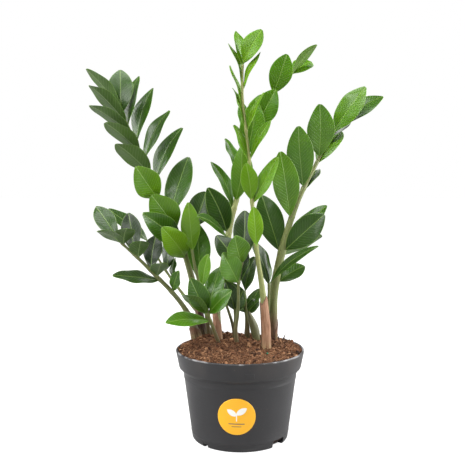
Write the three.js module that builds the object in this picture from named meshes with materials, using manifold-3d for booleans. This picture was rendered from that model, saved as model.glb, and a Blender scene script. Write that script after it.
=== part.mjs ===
// Potted ZZ plant (Zamioculcas): nursery pot with a label, coir soil, a buried tuber, thirteen
// fronds with their leaflets, a young shoot and a dried stump. Millimetres, +Z up, and -Y is the
// side that faces the viewer.
// The origin is the centre of the pot's underside, on the plane that the pot stands on.
import * as THREE from "three";
import { mergeVertices } from "three/addons/utils/BufferGeometryUtils.js";
import Module from "manifold-3d";

const wasm = await Module();
wasm.setup();

// ---- driving dimensions -------------------------------------------------------------------
const rimDiameter = 152.4; // a 6 inch nursery pot
const potHeight = 106;
const baseDiameter = 114.4;
const wall = 1.3;
const floorThickness = 1.6;
const collarHeight = 20; // the wide band below the rim
const collarDrop = 4.6; // height of the sloping shoulder under the band
const collarStep = 4.9; // how far the shoulder steps in
const collarTaper = 3.6; // how much the band narrows from rim to shoulder
const lipThickness = 2.6;
const footWidth = 7;
const footRecess = 1.8;
const centrePad = 22; // radius of the flat pad under the middle
const cornerRadius = 3;
const footBevel = 2; // width of the slopes beside the foot ring and the pad
const innerBevel = 3; // between the floor and the wall inside
const notchReach = 9.6; // how far a notch reaches in from the foot's outside
// The drain notches in the foot: degrees round +Z from +X, width and height.
const notches = [[-40, 20, 9], [88, 20, 9], [226, 7, 4]];

const fitGap = 0.3; // between pieces that touch
const soilBelowRim = 2; // at its edge
const soilMound = 8; // how much higher the soil is heaped round the stems
const labelDiameter = 43;
const labelThickness = 0.3;
const labelHeight = 43.5; // centre of the label above the floor
const labelAside = -4.6; // centre of the label along X
const heapMiddle = [-22, 22]; // X and Y of the highest soil
const heapSpread = 56;
const spikeRadii = [2, 2, 1.6]; // of the dried stump's three prongs, at their foot
const pelletRadius = 1.5;
const pelletPlace = [31, -33]; // X and Y of the fertiliser pellet

const drawnRim = 152.4; // the rim diameter that the fronds' tables are drawn for
const plantScale = rimDiameter / drawnRim; // the plant keeps in step with its pot
const stemScale = 1; // scales every stem's radius
const leafScale = 1; // scales every leaflet's length and width
const leafThickness = 1.5;
const leafArch = 0.06; // how far a blade bows towards its upper face, as a share of its length
const leafFold = 0.16; // slope of the two halves of a blade about the midrib
const stalkRadius = 0.8;
const footLean = 0.8; // a stem's foot is this much nearer the pot's axis than its first point
const footNarrowing = 0.9; // the foot's radius as a share of the stem's first radius
const stemCap = 0.6; // height of the cone that ends a stem
const socketDepth = 5; // how far a stem's foot sits in its tuber
const joinDepth = 1.4; // how far a leaflet goes into the stem that it is one piece with

const soilLevel = potHeight - soilBelowRim;
const stemGrowth = stemScale * plantScale;
const leafGrowth = leafScale * plantScale;

// ---- colours ------------------------------------------------------------------------------
const material = (color, roughness) =>
  new THREE.MeshStandardMaterial({ color, roughness, metalness: 0 });
const potBlack = material(0x4a494b, 0.6);
const soilBrown = material(0x5c3f2c, 0.95);
const labelYellow = material(0xf0b020, 0.5);
const tuberTan = material(0x9a7a52, 0.8);
const stemOlive = material(0x8c8a52, 0.55);
const leafDark = material(0x1f5a1c, 0.35);
const leafBright = material(0x5aa512, 0.35);
const spikeBrown = material(0x3a2a26, 0.8);
const pelletTeal = material(0x1f9a7a, 0.5);

// ---- fronds -------------------------------------------------------------------------------
// path: the stem's middle line, each point is X, Y and the height above the soil's edge.
// radii: the stem's radius at shares 0 to 1 of that line, evenly spread.
// leaves: name, share of the line where it grows, tip from there (X, Y, Z), width, turn in degrees.
// A turn of 0 shows the upper face to the viewer, 90 shows an edge, and 180 shows the underside.
const fronds = [
  {
    name: "left_tall", separate: true, tone: leafDark,
    path: [[-45, 48, 1], [-52, 43, 41], [-61, 28, 90], [-75, 10, 138], [-92, -6, 172],
      [-104, -18, 212], [-118, -27, 244], [-133, -34, 276]],
    radii: [5.4, 4.6, 4, 3.4, 2.8, 2.2, 1.8, 1.4, 1],
    leaves: [
      ["l1", 0.99, [-38, -12, 50], 26, 125], ["l2", 0.96, [-35, -30, 38], 28, 128],
      ["l3", 0.91, [-41, -34, 30], 26, 125], ["l4", 0.84, [-34, -34, 31], 29, 135],
      ["l5", 0.75, [-33, -36, 33], 31, 142], ["l6", 0.655, [-19, -42, 35], 32, 15],
      ["l7", 0.5, [-24, -36, 44], 35, 10], ["l8", 0.44, [-38, -54, 39], 29, 15],
      ["l9", 0.38, [-22, -56, 40], 30, 15], ["r0", 1, [-3, 12, 50], 29, 0],
      ["r1", 0.95, [10, 20, 58], 28, -50], ["r2", 0.88, [17, 20, 64], 29, -45],
      ["r3", 0.81, [26, 22, 58], 28, -50], ["r4", 0.71, [31, 22, 66], 30, -46],
      ["r5", 0.56, [22, 20, 72], 32, -20],
    ],
  },
  {
    name: "centre_tall", separate: true, tone: leafBright,
    path: [[-24, 14, -1], [-28, 17, 47], [-22, 22, 87], [-11, 32, 151], [-2, 40, 186],
      [10, 50, 239], [24, 58, 277], [41, 66, 308], [67, 74, 337]],
    radii: [4.4, 4.6, 4.4, 3.8, 3.2, 2.6, 2.1, 1.6, 1.1],
    leaves: [
      ["u1", 0.9, [16, -12, 47], 29, 5], ["u2", 1, [30, -10, 34], 22, -120],
      ["u3", 1, [27, 20, 18], 26, -35], ["u4", 0.76, [24, -14, 46], 31, -10],
      ["u5", 0.79, [3, 32, 36], 25, -30], ["u6", 0.66, [11, -16, 66], 31, -10],
      ["u7", 0.69, [-8, 18, 58], 27, 50], ["u8", 0.5, [7, -22, 66], 28, 22],
      ["u9", 0.58, [-19, 22, 50], 24, 55], ["n1", 0.47, [-27, 16, 58], 24, 55],
      ["g1", 0.39, [-23, -14, 54], 29, 10], ["g2", 0.37, [-34, -42, 28], 20, 65],
    ],
  },
  {
    name: "right_tall", separate: true, tone: leafDark,
    path: [[42, 44, -2], [42, 40, 28], [42, 37, 58], [46, 33, 88], [60, 31, 146], [76, 36, 187],
      [91, 44, 215], [104, 51, 240], [120, 59, 267]],
    radii: [4.7, 5.2, 5.4, 5, 4, 3.2, 2.6, 2, 1.1],
    leaves: [
      ["v1", 0.56, [-14, -22, 79], 33, 10], ["v2", 0.7, [-9, -24, 72], 33, 0],
      ["v3", 0.85, [-3, -27, 62], 34, 5], ["v4", 0.98, [37, -16, 54], 30, -25],
      ["v5", 1, [61, 8, 41], 28, -40], ["v6", 0.93, [30, 22, 28], 26, -60],
      ["v7", 0.82, [34, 24, 42], 31, -40], ["v8", 0.69, [22, 22, 26], 19, -50],
      ["w1", 0.41, [-21, 12, 68], 34, 10], ["w2", 0.42, [45, -22, 45], 33, -18],
      ["w3", 0.45, [50, 8, 46], 26, -45], ["w4", 0.4, [48, 10, 22], 26, -135],
      ["w6", 0.275, [34, 14, 18], 25, -40],
    ],
  },
  {
    name: "centre_young", separate: false, tone: leafBright,
    path: [[31, -9, -3], [30, -9, 30], [26, -12, 73], [19, -19, 120], [14, -27, 168],
      [10, -35, 220], [6, -42, 256], [2, -50, 291], [2, -57, 327]],
    radii: [5.4, 4.9, 3.5, 2.7, 2.4, 2.1, 1.8, 1.6, 1.3, 1],
    leaves: [
      ["t1", 0.99, [-7, 6, 39], 18, 45], ["t2", 1, [20, -8, 34], 23, -25],
      ["n1", 0.93, [-15, -6, 44], 8, 55], ["n2", 0.92, [19, -8, 38], 10, -50],
      ["n3", 0.85, [-15, -6, 48], 8, 55], ["n4", 0.79, [-14, -9, 44], 9, 50],
      ["n5", 0.78, [18, -10, 42], 10, -55], ["n6", 0.68, [-17, -12, 40], 16, 50],
      ["n7", 0.69, [23, -10, 42], 14, -45], ["b1", 0.55, [-6, -10, 42], 20, 0],
      ["b2", 0.54, [27, -10, 52], 21, -40], ["m1", 0.39, [-4, -14, 46], 19, 15],
    ],
  },
  {
    name: "left_low", separate: false, tone: leafDark,
    path: [[-52, 32, 1], [-58, 29, 24], [-68, 24, 46], [-83, 14, 68], [-101, 0, 90],
      [-119, -12, 111], [-135, -21, 128], [-143, -26, 138]],
    radii: [7, 4.6, 3, 2.7, 2.4, 2, 1.6, 1],
    leaves: [
      ["a", 0.98, [-29, 24, 35], 23, 15], ["c", 0.82, [-10, 22, 47], 24, 0],
      ["d", 0.93, [-24, -24, 16], 23, 130], ["e", 0.92, [8, -26, 20], 25, -150],
      ["f", 0.79, [7, -24, 21], 24, -150], ["g", 0.66, [4, 26, 39], 23, 0],
      ["h", 0.56, [-52, -20, 9], 22, 57], ["i", 0.6, [8, -26, 18], 22, -150],
      ["j", 0.43, [8, -12, 26], 16, -30],
    ],
  },
  {
    name: "right_low", separate: false, tone: leafDark,
    path: [[31, 50, -2], [33, 38, 26], [35, 25, 52], [35, 14, 77]],
    radii: [2.4, 2.3, 2, 1.3],
    leaves: [
      ["w5", 1, [58, -14, 47], 20, -66], ["w7", 0.93, [-11, 14, 52], 18, 55],
      ["m2", 0.98, [-22, -10, 57], 21, 50],
    ],
  },
  {
    name: "centre_low", separate: false, tone: leafDark,
    path: [[-3, 4, 1], [-5, 1, 24], [-3, -2, 42], [-2, -5, 61], [-2, -8, 79], [2, -12, 106]],
    radii: [2.5, 2.2, 2, 1.8, 1.6, 1.3],
    leaves: [
      ["k", 1, [-8, -24, 33], 29, 15], ["l", 0.77, [-18, -24, 38], 28, 25],
      ["p", 0.77, [9, 16, 36], 25, -45], ["o", 0.96, [-29, 12, 35], 27, 25],
      ["j", 1, [4, 30, 60], 28, 0],
    ],
  },
  {
    name: "left_inner", separate: false, tone: leafDark,
    path: [[-38, 38, 1], [-41, 31, 36], [-44, 24, 56], [-49, 16, 78], [-55, 8, 104],
      [-60, 8, 144]],
    radii: [2.8, 2.6, 2.4, 2.1, 1.7, 1.2],
    leaves: [
      ["e", 0.83, [-3, -20, 58], 23, 10], ["f", 0.56, [-4, 14, 70], 29, 12],
      ["h", 1, [18, 26, 44], 31, 0],
    ],
  },
  {
    name: "left_back", separate: false, tone: leafDark,
    path: [[-28, 38, 1], [-44, 55, 22], [-71, 66, 54], [-91, 70, 80], [-108, 72, 107],
      [-118, 72, 125]],
    radii: [2.3, 2.2, 2, 1.7, 1.4, 1.1],
    leaves: [
      ["k", 0.72, [0, 8, 42], 23, 50], ["b", 1, [-50, -4, 41], 25, 50],
      ["k2", 0.62, [2, 10, 28], 14, -50],
    ],
  },
  {
    name: "front_low", separate: false, tone: leafDark,
    path: [[-23, 2, 1], [-32, -8, 28], [-38, -18, 48], [-44, -24, 80]],
    radii: [2.4, 2.2, 1.8, 1.2],
    leaves: [
      ["o", 0.62, [-18, -20, 44], 25, 20], ["p", 0.58, [-28, -30, 30], 23, 135],
      ["q", 0.6, [27, -18, 30], 23, -40], ["r", 0.48, [-49, -26, 3], 24, 57],
      ["s", 1, [7, -6, 38], 16, -25], ["q2", 0.66, [14, 14, 48], 23, -15],
    ],
  },
  {
    name: "back_low", separate: false, tone: leafDark,
    path: [[-6, 56, 0], [-9, 50, 20], [-14, 44, 38], [-22, 38, 60]],
    radii: [2.3, 2, 1.7, 1.2],
    leaves: [
      ["s2", 1, [1, -8, 40], 25, 20], ["s3", 0.9, [-24, 8, 30], 21, 35],
    ],
  },
  {
    name: "inner_small", separate: false, tone: leafDark,
    path: [[-8, 22, 1], [-6, 20, 27], [-6, 18, 46]],
    radii: [2.1, 1.8, 1.3],
    leaves: [
      ["b", 0.97, [-11, -6, 36], 21, 20], ["b2", 0.9, [9, -6, 28], 19, -25],
    ],
  },
  {
    name: "inner_short", separate: false, tone: leafDark,
    path: [[9, 32, 1], [9, 29, 21], [8, 27, 38], [6, 24, 66]],
    radii: [2.2, 3.6, 2.4, 1.6, 1.3, 1.1],
    leaves: [
      ["t", 0.6, [-23, -2, 38], 26, 25], ["t2", 0.56, [14, 2, 20], 15, -30],
      ["t3", 0.62, [16, 12, 26], 16, -40], ["t4", 1, [12, -6, 44], 24, -45],
    ],
  },
];

// A young shoot still wrapped in its sheath leaf: thin at the foot, fat in the middle, pointed.
const youngShoot = {
  name: "young_shoot",
  path: [[22, 24, -1], [18, 23, 20], [11, 20, 41]],
  radii: [3, 4.6, 5.4, 5.1, 3.8, 1.6],
};

// A dried, forked stump: its foot and the tips of its three prongs.
const spikePoints = [[51, 37, -4], [47, 36, 12], [58, 35, 14], [54, 33, 6]];

// The lumps of the tuber that the stems grow from, grown together: centre and three half sizes.
const tuberLumps = [
  { at: [-31, 30, -34], half: [17, 16, 13] },
  { at: [-8, 9, -35], half: [21, 14, 13] },
  { at: [2, 37, -34], half: [16, 16, 12] },
  { at: [29, 17, -34], half: [18, 27, 13] },
];

// ---- solid helpers ------------------------------------------------------------------------
const vec = (p) => new THREE.Vector3(p[0], p[1], p[2]);
// A place given as X, Y and height above the soil's edge.
const plantPoint = (p) => vec(p).multiplyScalar(plantScale).add(vec([0, 0, soilLevel]));

function toSolid(geometry) {
  const bare = new THREE.BufferGeometry();
  const flat = geometry.index ? geometry.toNonIndexed() : geometry;
  bare.setAttribute("position", flat.getAttribute("position"));
  const merged = mergeVertices(bare, 1e-3);
  return new wasm.Manifold(
    new wasm.Mesh({
      numProp: 3,
      vertProperties: merged.attributes.position.array,
      triVerts: new Uint32Array(merged.index.array),
    }),
  );
}

function toGeometry(solid) {
  const mesh = solid.getMesh();
  const geometry = new THREE.BufferGeometry();
  geometry.setAttribute("position", new THREE.BufferAttribute(mesh.vertProperties, 3));
  geometry.setIndex(new THREE.BufferAttribute(mesh.triVerts, 1));
  return geometry;
}

// A closed surface from rings of points, each ring counter-clockwise seen from the end it
// leads to. The first ring is closed by a flat fan, and the last ring by a fan to the end point.
function ringedSolid(rings, end) {
  const size = rings[0].length;
  const positions = [];
  const index = [];
  for (const ring of rings) for (const p of ring) positions.push(p.x, p.y, p.z);
  for (let i = 0; i + 1 < rings.length; i++) {
    for (let j = 0; j < size; j++) {
      const a = i * size + j;
      const b = i * size + ((j + 1) % size);
      index.push(a, b, b + size, a, b + size, a + size);
    }
  }
  for (let j = 1; j + 1 < size; j++) index.push(0, j + 1, j);
  const tip = rings.length * size;
  positions.push(end.x, end.y, end.z);
  for (let j = 0; j < size; j++) index.push(tip - size + j, tip - size + ((j + 1) % size), tip);
  const geometry = new THREE.BufferGeometry();
  geometry.setAttribute("position", new THREE.Float32BufferAttribute(positions, 3));
  geometry.setIndex(index);
  return geometry;
}

// ---- stems --------------------------------------------------------------------------------
const stemSides = 8;
const stemStations = 15;
const flatOfSide = Math.cos(Math.PI / stemSides); // a side's middle is this much nearer than a corner

function evenly(values, share) {
  const place = share * (values.length - 1);
  const i = Math.min(Math.floor(place), values.length - 2);
  return values[i] + (values[i + 1] - values[i]) * (place - i);
}

function stemLine(frond) {
  return new THREE.CatmullRomCurve3(
    frond.path.map(plantPoint),
    false,
    "centripetal",
  );
}

// Height of the highest tuber's skin over a place.
function tuberTop(x, y) {
  const tops = tuberLumps.map(({ at, half }) => {
    const centre = plantPoint(at);
    const [wide, deep, high] = half.map((size) => size * plantScale);
    const out = ((x - centre.x) / wide) ** 2 + ((y - centre.y) / deep) ** 2;
    return centre.z + high * Math.sqrt(Math.max(0, 1 - out));
  });
  return Math.max(...tops);
}

// A round, tapering stem along its line, with a foot that goes down into the tuber.
// grow makes it fatter and longer all round, for the hole that it stands in.
function stemGeometry(frond, grow = 0) {
  const line = stemLine(frond);
  const rings = [];
  const ringAt = (centre, along, radius) => {
    const side = new THREE.Vector3(0, 1, 0).cross(along).normalize();
    const up = along.clone().cross(side);
    const ring = [];
    for (let j = 0; j < stemSides; j++) {
      const angle = (2 * Math.PI * j) / stemSides;
      const offset = side.clone().multiplyScalar(Math.cos(angle) * radius);
      offset.addScaledVector(up, Math.sin(angle) * radius);
      ring.push(centre.clone().add(offset));
    }
    rings.push(ring);
  };
  const start = line.getPointAt(0);
  const startRadius = frond.radii[0] * stemGrowth + grow;
  const foot = new THREE.Vector3(start.x * footLean, start.y * footLean, 0);
  foot.z = tuberTop(foot.x, foot.y) - socketDepth - grow;
  ringAt(foot, new THREE.Vector3(0, 0, 1), startRadius * footNarrowing);
  for (let i = 0; i < stemStations; i++) {
    const share = i / (stemStations - 1);
    const radius = evenly(frond.radii, share) * stemGrowth + grow;
    ringAt(line.getPointAt(share), line.getTangentAt(share), radius);
  }
  const top = line.getPointAt(1).addScaledVector(line.getTangentAt(1), grow + stemCap);
  return ringedSolid(rings, top);
}

// ---- leaflets -----------------------------------------------------------------------------
const leafStations = [0, 0.1, 0.24, 0.4, 0.57, 0.74, 0.88];
const viewer = new THREE.Vector3(0, -1, 0);

// Half the blade's width at a share of its length, for a width of 1: narrow at the stalk,
// widest a little past the middle, pointed at the tip.
const bladeOutline = (share) => 0.5 * Math.pow(Math.sin(Math.PI * Math.pow(share, 1.1)), 0.85);

// The directions of a leaflet: along it, across it, and out of its upper face.
function leafFrame(reach, turn) {
  const along = reach.clone().normalize();
  const facing = viewer.clone().addScaledVector(along, -viewer.dot(along)).normalize();
  const upper = facing.applyAxisAngle(along, THREE.MathUtils.degToRad(turn));
  return { along, upper, across: along.clone().cross(upper) };
}

// gap is the clear distance from the stem, negative where the leaflet is joined to it.
function leafGeometry(frond, [, share, tip, width, turn], gap) {
  const line = stemLine(frond);
  const reach = vec(tip).multiplyScalar(leafGrowth);
  const { along, upper, across } = leafFrame(reach, turn);
  const tangent = line.getTangentAt(share);
  const sideways = reach.clone().addScaledVector(tangent, -reach.dot(tangent)).normalize();
  const stemRadius = evenly(frond.radii, share) * stemGrowth;
  const root = line.getPointAt(share);
  root.addScaledVector(sideways, stemRadius * flatOfSide + stalkRadius * flatOfSide + gap);
  const length = reach.length();
  const spine = (s) =>
    root
      .clone()
      .addScaledVector(along, length * s)
      .addScaledVector(upper, leafArch * length * 4 * s * (1 - s));
  const rings = leafStations.map((s) => {
    const half = Math.max(width * leafGrowth * bladeOutline(s), stalkRadius);
    const thick = Math.max(leafThickness * (1 - 0.5 * s), 2 * stalkRadius * (1 - 8 * s)) / 2;
    const lift = leafFold * half;
    const point = (x, z) => spine(s).addScaledVector(across, x).addScaledVector(upper, z);
    return [point(-half, lift), point(0, thick), point(half, lift), point(0, -thick)];
  });
  return ringedSolid(rings, spine(1));
}

// ---- pot ----------------------------------------------------------------------------------
const rimRadius = rimDiameter / 2;
const baseRadius = baseDiameter / 2;
const bandRadius = rimRadius - collarTaper; // the collar at its lower edge
const bodyRadius = bandRadius - collarStep; // the wall just under the shoulder
const bandBottom = potHeight - collarHeight;
const shoulderBottom = bandBottom - collarDrop;
const footTop = cornerRadius;
const outerRadiusAt = (z) =>
  baseRadius + ((bodyRadius - baseRadius) * (z - footTop)) / (shoulderBottom - footTop);
const floorTop = footRecess + floorThickness;
const bevelTop = floorTop + innerBevel;

function potGeometry() {
  const footOuter = baseRadius - cornerRadius;
  const points = [
    [0, 0],
    [centrePad, 0],
    [centrePad + footBevel, footRecess],
    [footOuter - footWidth - footBevel, footRecess],
    [footOuter - footWidth, 0],
    [footOuter, 0],
    [baseRadius - 0.8, cornerRadius * 0.35],
    [baseRadius, footTop],
    [bodyRadius, shoulderBottom],
    [bandRadius, bandBottom],
    [rimRadius - 0.4, potHeight - lipThickness],
    [rimRadius, potHeight - lipThickness * 0.6],
    [rimRadius - 0.5, potHeight],
    [rimRadius - lipThickness + 0.4, potHeight],
    [rimRadius - lipThickness, potHeight - lipThickness],
    [bandRadius - wall, bandBottom + 1],
    [bodyRadius - wall, shoulderBottom + 1],
    [outerRadiusAt(bevelTop) - wall, bevelTop],
    [outerRadiusAt(bevelTop) - wall - innerBevel, floorTop],
    [0, floorTop],
  ];
  const profile = points.map(([r, z]) => new THREE.Vector2(r, z));
  return new THREE.LatheGeometry(profile, 42).rotateX(Math.PI / 2);
}

function notchSolid([angle, width, height]) {
  const beyond = 2 * notchReach; // the cutter also sticks out of the pot, and below it
  const box = new THREE.BoxGeometry(beyond, width, height * 2);
  box.translate(baseRadius - notchReach + beyond / 2, 0, 0);
  box.rotateZ(THREE.MathUtils.degToRad(angle));
  return toSolid(box);
}

// ---- soil ---------------------------------------------------------------------------------
// Height of the soil above its edge: heaped round the stems, left of and behind the middle.
const heap = (x, y) => {
  const [middleX, middleY] = heapMiddle;
  const aside = Math.hypot(x / plantScale - middleX, y / plantScale - middleY) / heapSpread;
  return soilMound * plantScale * Math.exp(-aside * aside);
};

function soilGeometry() {
  const innerBand = (z) =>
    bandRadius - wall + ((rimRadius - lipThickness - bandRadius + wall) * (z - bandBottom)) /
      (potHeight - lipThickness - bandBottom);
  const low = bevelTop + fitGap;
  const edge = innerBand(soilLevel) - fitGap;
  const points = [
    [0, floorTop + fitGap],
    [outerRadiusAt(low) - wall - innerBevel - fitGap, floorTop + fitGap],
    [outerRadiusAt(low) - wall - fitGap, low],
    [bodyRadius - wall - fitGap, shoulderBottom + 1],
    [bandRadius - wall - fitGap, bandBottom + 1 + fitGap],
    [edge, soilLevel],
  ];
  for (const share of [0.85, 0.65, 0.45, 0.25, 0]) points.push([edge * share, soilLevel]);
  const profile = points.map(([r, z]) => new THREE.Vector2(r, z));
  const geometry = new THREE.LatheGeometry(profile, 30).rotateX(Math.PI / 2);
  const position = geometry.getAttribute("position");
  for (let i = 0; i < position.count; i++) {
    if (Math.abs(position.getZ(i) - soilLevel) > 1e-3) continue;
    const x = position.getX(i);
    const y = position.getY(i);
    const inward = Math.min(1, (1 - Math.hypot(x, y) / edge) * 5);
    position.setZ(i, soilLevel + heap(x, y) * Math.max(inward, 0));
  }
  return geometry;
}

// ---- buried pieces and small things -------------------------------------------------------
function tuberSolid(grow = 0) {
  const lumps = tuberLumps.map(({ at, half }) => {
    const ball = new THREE.SphereGeometry(1, 12, 6).rotateX(Math.PI / 2);
    ball.scale(...half.map((size) => size * plantScale + grow));
    const centre = plantPoint(at);
    return toSolid(ball.translate(centre.x, centre.y, centre.z));
  });
  return lumps.reduce((whole, lump) => whole.add(lump));
}

function labelSolid() {
  const skin = (inset) =>
    toSolid(
      new THREE.LatheGeometry(
        [
          [0, footTop],
          [outerRadiusAt(footTop) + inset, footTop],
          [outerRadiusAt(shoulderBottom) + inset, shoulderBottom],
          [0, shoulderBottom],
        ].map(([r, z]) => new THREE.Vector2(r, z)),
        144,
      ).rotateX(Math.PI / 2),
    );
  const punch = new THREE.CylinderGeometry(labelDiameter / 2, labelDiameter / 2, rimRadius, 40);
  punch.translate(labelAside, -rimRadius / 2 - baseRadius / 2, labelHeight);
  return skin(fitGap + labelThickness).subtract(skin(fitGap)).intersect(toSolid(punch));
}

// A dried stump with three prongs, standing in the soil: straight pointed twigs, joined.
function spikeSolid(grow = 0) {
  const [foot, ...tips] = spikePoints.map(plantPoint);
  const twig = (to, i) => {
    const length = foot.distanceTo(to);
    const cone = new THREE.ConeGeometry(spikeRadii[i] + grow, length + grow, 7);
    const along = to.clone().sub(foot).normalize();
    cone.translate(0, length / 2, 0);
    cone.applyQuaternion(new THREE.Quaternion().setFromUnitVectors(new THREE.Vector3(0, 1, 0), along));
    cone.translate(foot.x, foot.y, foot.z);
    return toSolid(cone);
  };
  return tips.map(twig).reduce((whole, prong) => whole.add(prong));
}

// ---- assembly -----------------------------------------------------------------------------
const plant = new THREE.Group();
plant.name = "potted_zz_plant";

function addPiece(name, solid, look) {
  const mesh = new THREE.Mesh(toGeometry(solid), look.clone());
  mesh.name = name;
  plant.add(mesh);
}

let pot = toSolid(potGeometry());
for (const notch of notches) pot = pot.subtract(notchSolid(notch));
addPiece("nursery_pot", pot, potBlack);

const feet = [...fronds, youngShoot].map((f) => toSolid(stemGeometry(f, fitGap)));
let soil = toSolid(soilGeometry());
soil = soil.subtract(tuberSolid(fitGap));
for (const foot of feet) soil = soil.subtract(foot);
soil = soil.subtract(spikeSolid(fitGap));
addPiece("coir_soil", soil, soilBrown);

let tuber = tuberSolid();
for (const foot of feet) tuber = tuber.subtract(foot);
addPiece("tuber", tuber, tuberTan);

for (const frond of fronds) {
  let stem = toSolid(stemGeometry(frond));
  for (const leaf of frond.leaves) {
    const blade = toSolid(leafGeometry(frond, leaf, frond.separate ? fitGap : -joinDepth));
    if (frond.separate) addPiece("leaflet_" + frond.name + "_" + leaf[0], blade, frond.tone);
    else stem = stem.add(blade);
  }
  if (frond.separate) addPiece("stem_" + frond.name, stem, stemOlive);
  else addPiece("frond_" + frond.name, stem, frond.tone);
}

addPiece(youngShoot.name, toSolid(stemGeometry(youngShoot)), stemOlive);
addPiece("round_label", labelSolid(), labelYellow);
addPiece("dried_spike", spikeSolid(), spikeBrown);
const pellet = new THREE.IcosahedronGeometry(pelletRadius, 1);
const [pelletX, pelletY] = pelletPlace.map((side) => side * plantScale);
pellet.translate(pelletX, pelletY, soilLevel + heap(pelletX, pelletY) + pelletRadius + fitGap);
addPiece("fertiliser_pellet", toSolid(pellet), pelletTeal);

export default plant;
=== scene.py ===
import bpy
import numpy as np
from bpy.props import FloatProperty, FloatVectorProperty, IntProperty, PointerProperty
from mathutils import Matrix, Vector


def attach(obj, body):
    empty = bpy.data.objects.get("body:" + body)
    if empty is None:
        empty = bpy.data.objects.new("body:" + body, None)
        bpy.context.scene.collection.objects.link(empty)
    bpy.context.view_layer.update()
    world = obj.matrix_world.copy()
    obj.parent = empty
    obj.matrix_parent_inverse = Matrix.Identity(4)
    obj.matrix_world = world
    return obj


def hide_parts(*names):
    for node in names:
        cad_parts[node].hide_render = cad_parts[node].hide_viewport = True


bl_info = {
    "name": "Potted ZZ Plant",
    "version": (1, 0, 0),
    "blender": (4, 5, 0),
    "location": "3D View > Sidebar > ZZ Plant",
    "description": "Builds a potted ZZ plant: pot, label, coir, stems, sheaths and leaflets",
    "category": "Add Mesh",
}

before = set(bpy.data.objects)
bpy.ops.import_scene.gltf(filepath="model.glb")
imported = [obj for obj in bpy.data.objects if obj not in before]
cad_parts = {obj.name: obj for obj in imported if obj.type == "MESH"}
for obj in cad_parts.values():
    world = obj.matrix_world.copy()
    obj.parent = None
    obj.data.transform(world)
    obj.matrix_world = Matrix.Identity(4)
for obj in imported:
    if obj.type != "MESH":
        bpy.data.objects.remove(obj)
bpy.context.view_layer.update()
MM = 0.001

# The front is -Y, and lengths here are millimetres until a mesh is made.
POT_HEIGHT = 106.0
RIM_RADIUS = 76.2
BASE_RADIUS = 57.2
WALL = 1.3
COLLAR_HEIGHT = 20.0
COLLAR_DROP = 4.6
BAND_RADIUS = RIM_RADIUS - 3.6
BODY_RADIUS = BAND_RADIUS - 4.9
BAND_BOTTOM = POT_HEIGHT - COLLAR_HEIGHT
SHOULDER_BOTTOM = BAND_BOTTOM - COLLAR_DROP
FOOT_TOP = 3.0  # where the straight wall starts, and the radius of the foot's corner
FLOOR_TOP = 3.4
LIP = 2.6
SOIL_LEVEL = POT_HEIGHT - 2.0
SOIL_EDGE = 73.3
BED_DEPTH = 3.0
# The drain notches in the foot: degrees round the axis from +X, half width and height.
NOTCHES = ((-40, 10.0, 9.0), (88, 10.0, 9.0), (226, 3.5, 4.0))
LABEL_RADIUS = 21.5
LABEL_HEIGHT = 43.5
LABEL_ASIDE = -4.6
LABEL_FRONT = 0.55  # how far the label's face and its back are off the wall
LABEL_BACK = 0.25
FRONT = np.array([0.0, -1.0, 0.0])
DEPTH = np.array([0.0, 1.0, 0.0])
UP = np.array([0.0, 0.0, 1.0])
STEM_SINK = 9.0  # how far a stem goes on under its path's start
STEM_SWELL = 0.35  # how much fatter a stem is where a leaflet grows, and over what length
SWELL_REACH = 2.6
STALK_SINK = 0.55  # how deep a leaflet's stalk goes into its stem
STALK_HALF = 0.75  # half the stalk's width and thickness
TIP_HALF = 0.05  # half the width of a leaflet's very end
TIP_SHARE = 0.985  # where the outline stops short of its point
VEIN_SLANT = 0.95  # how far side veins run back for each millimetre from the midrib

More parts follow.
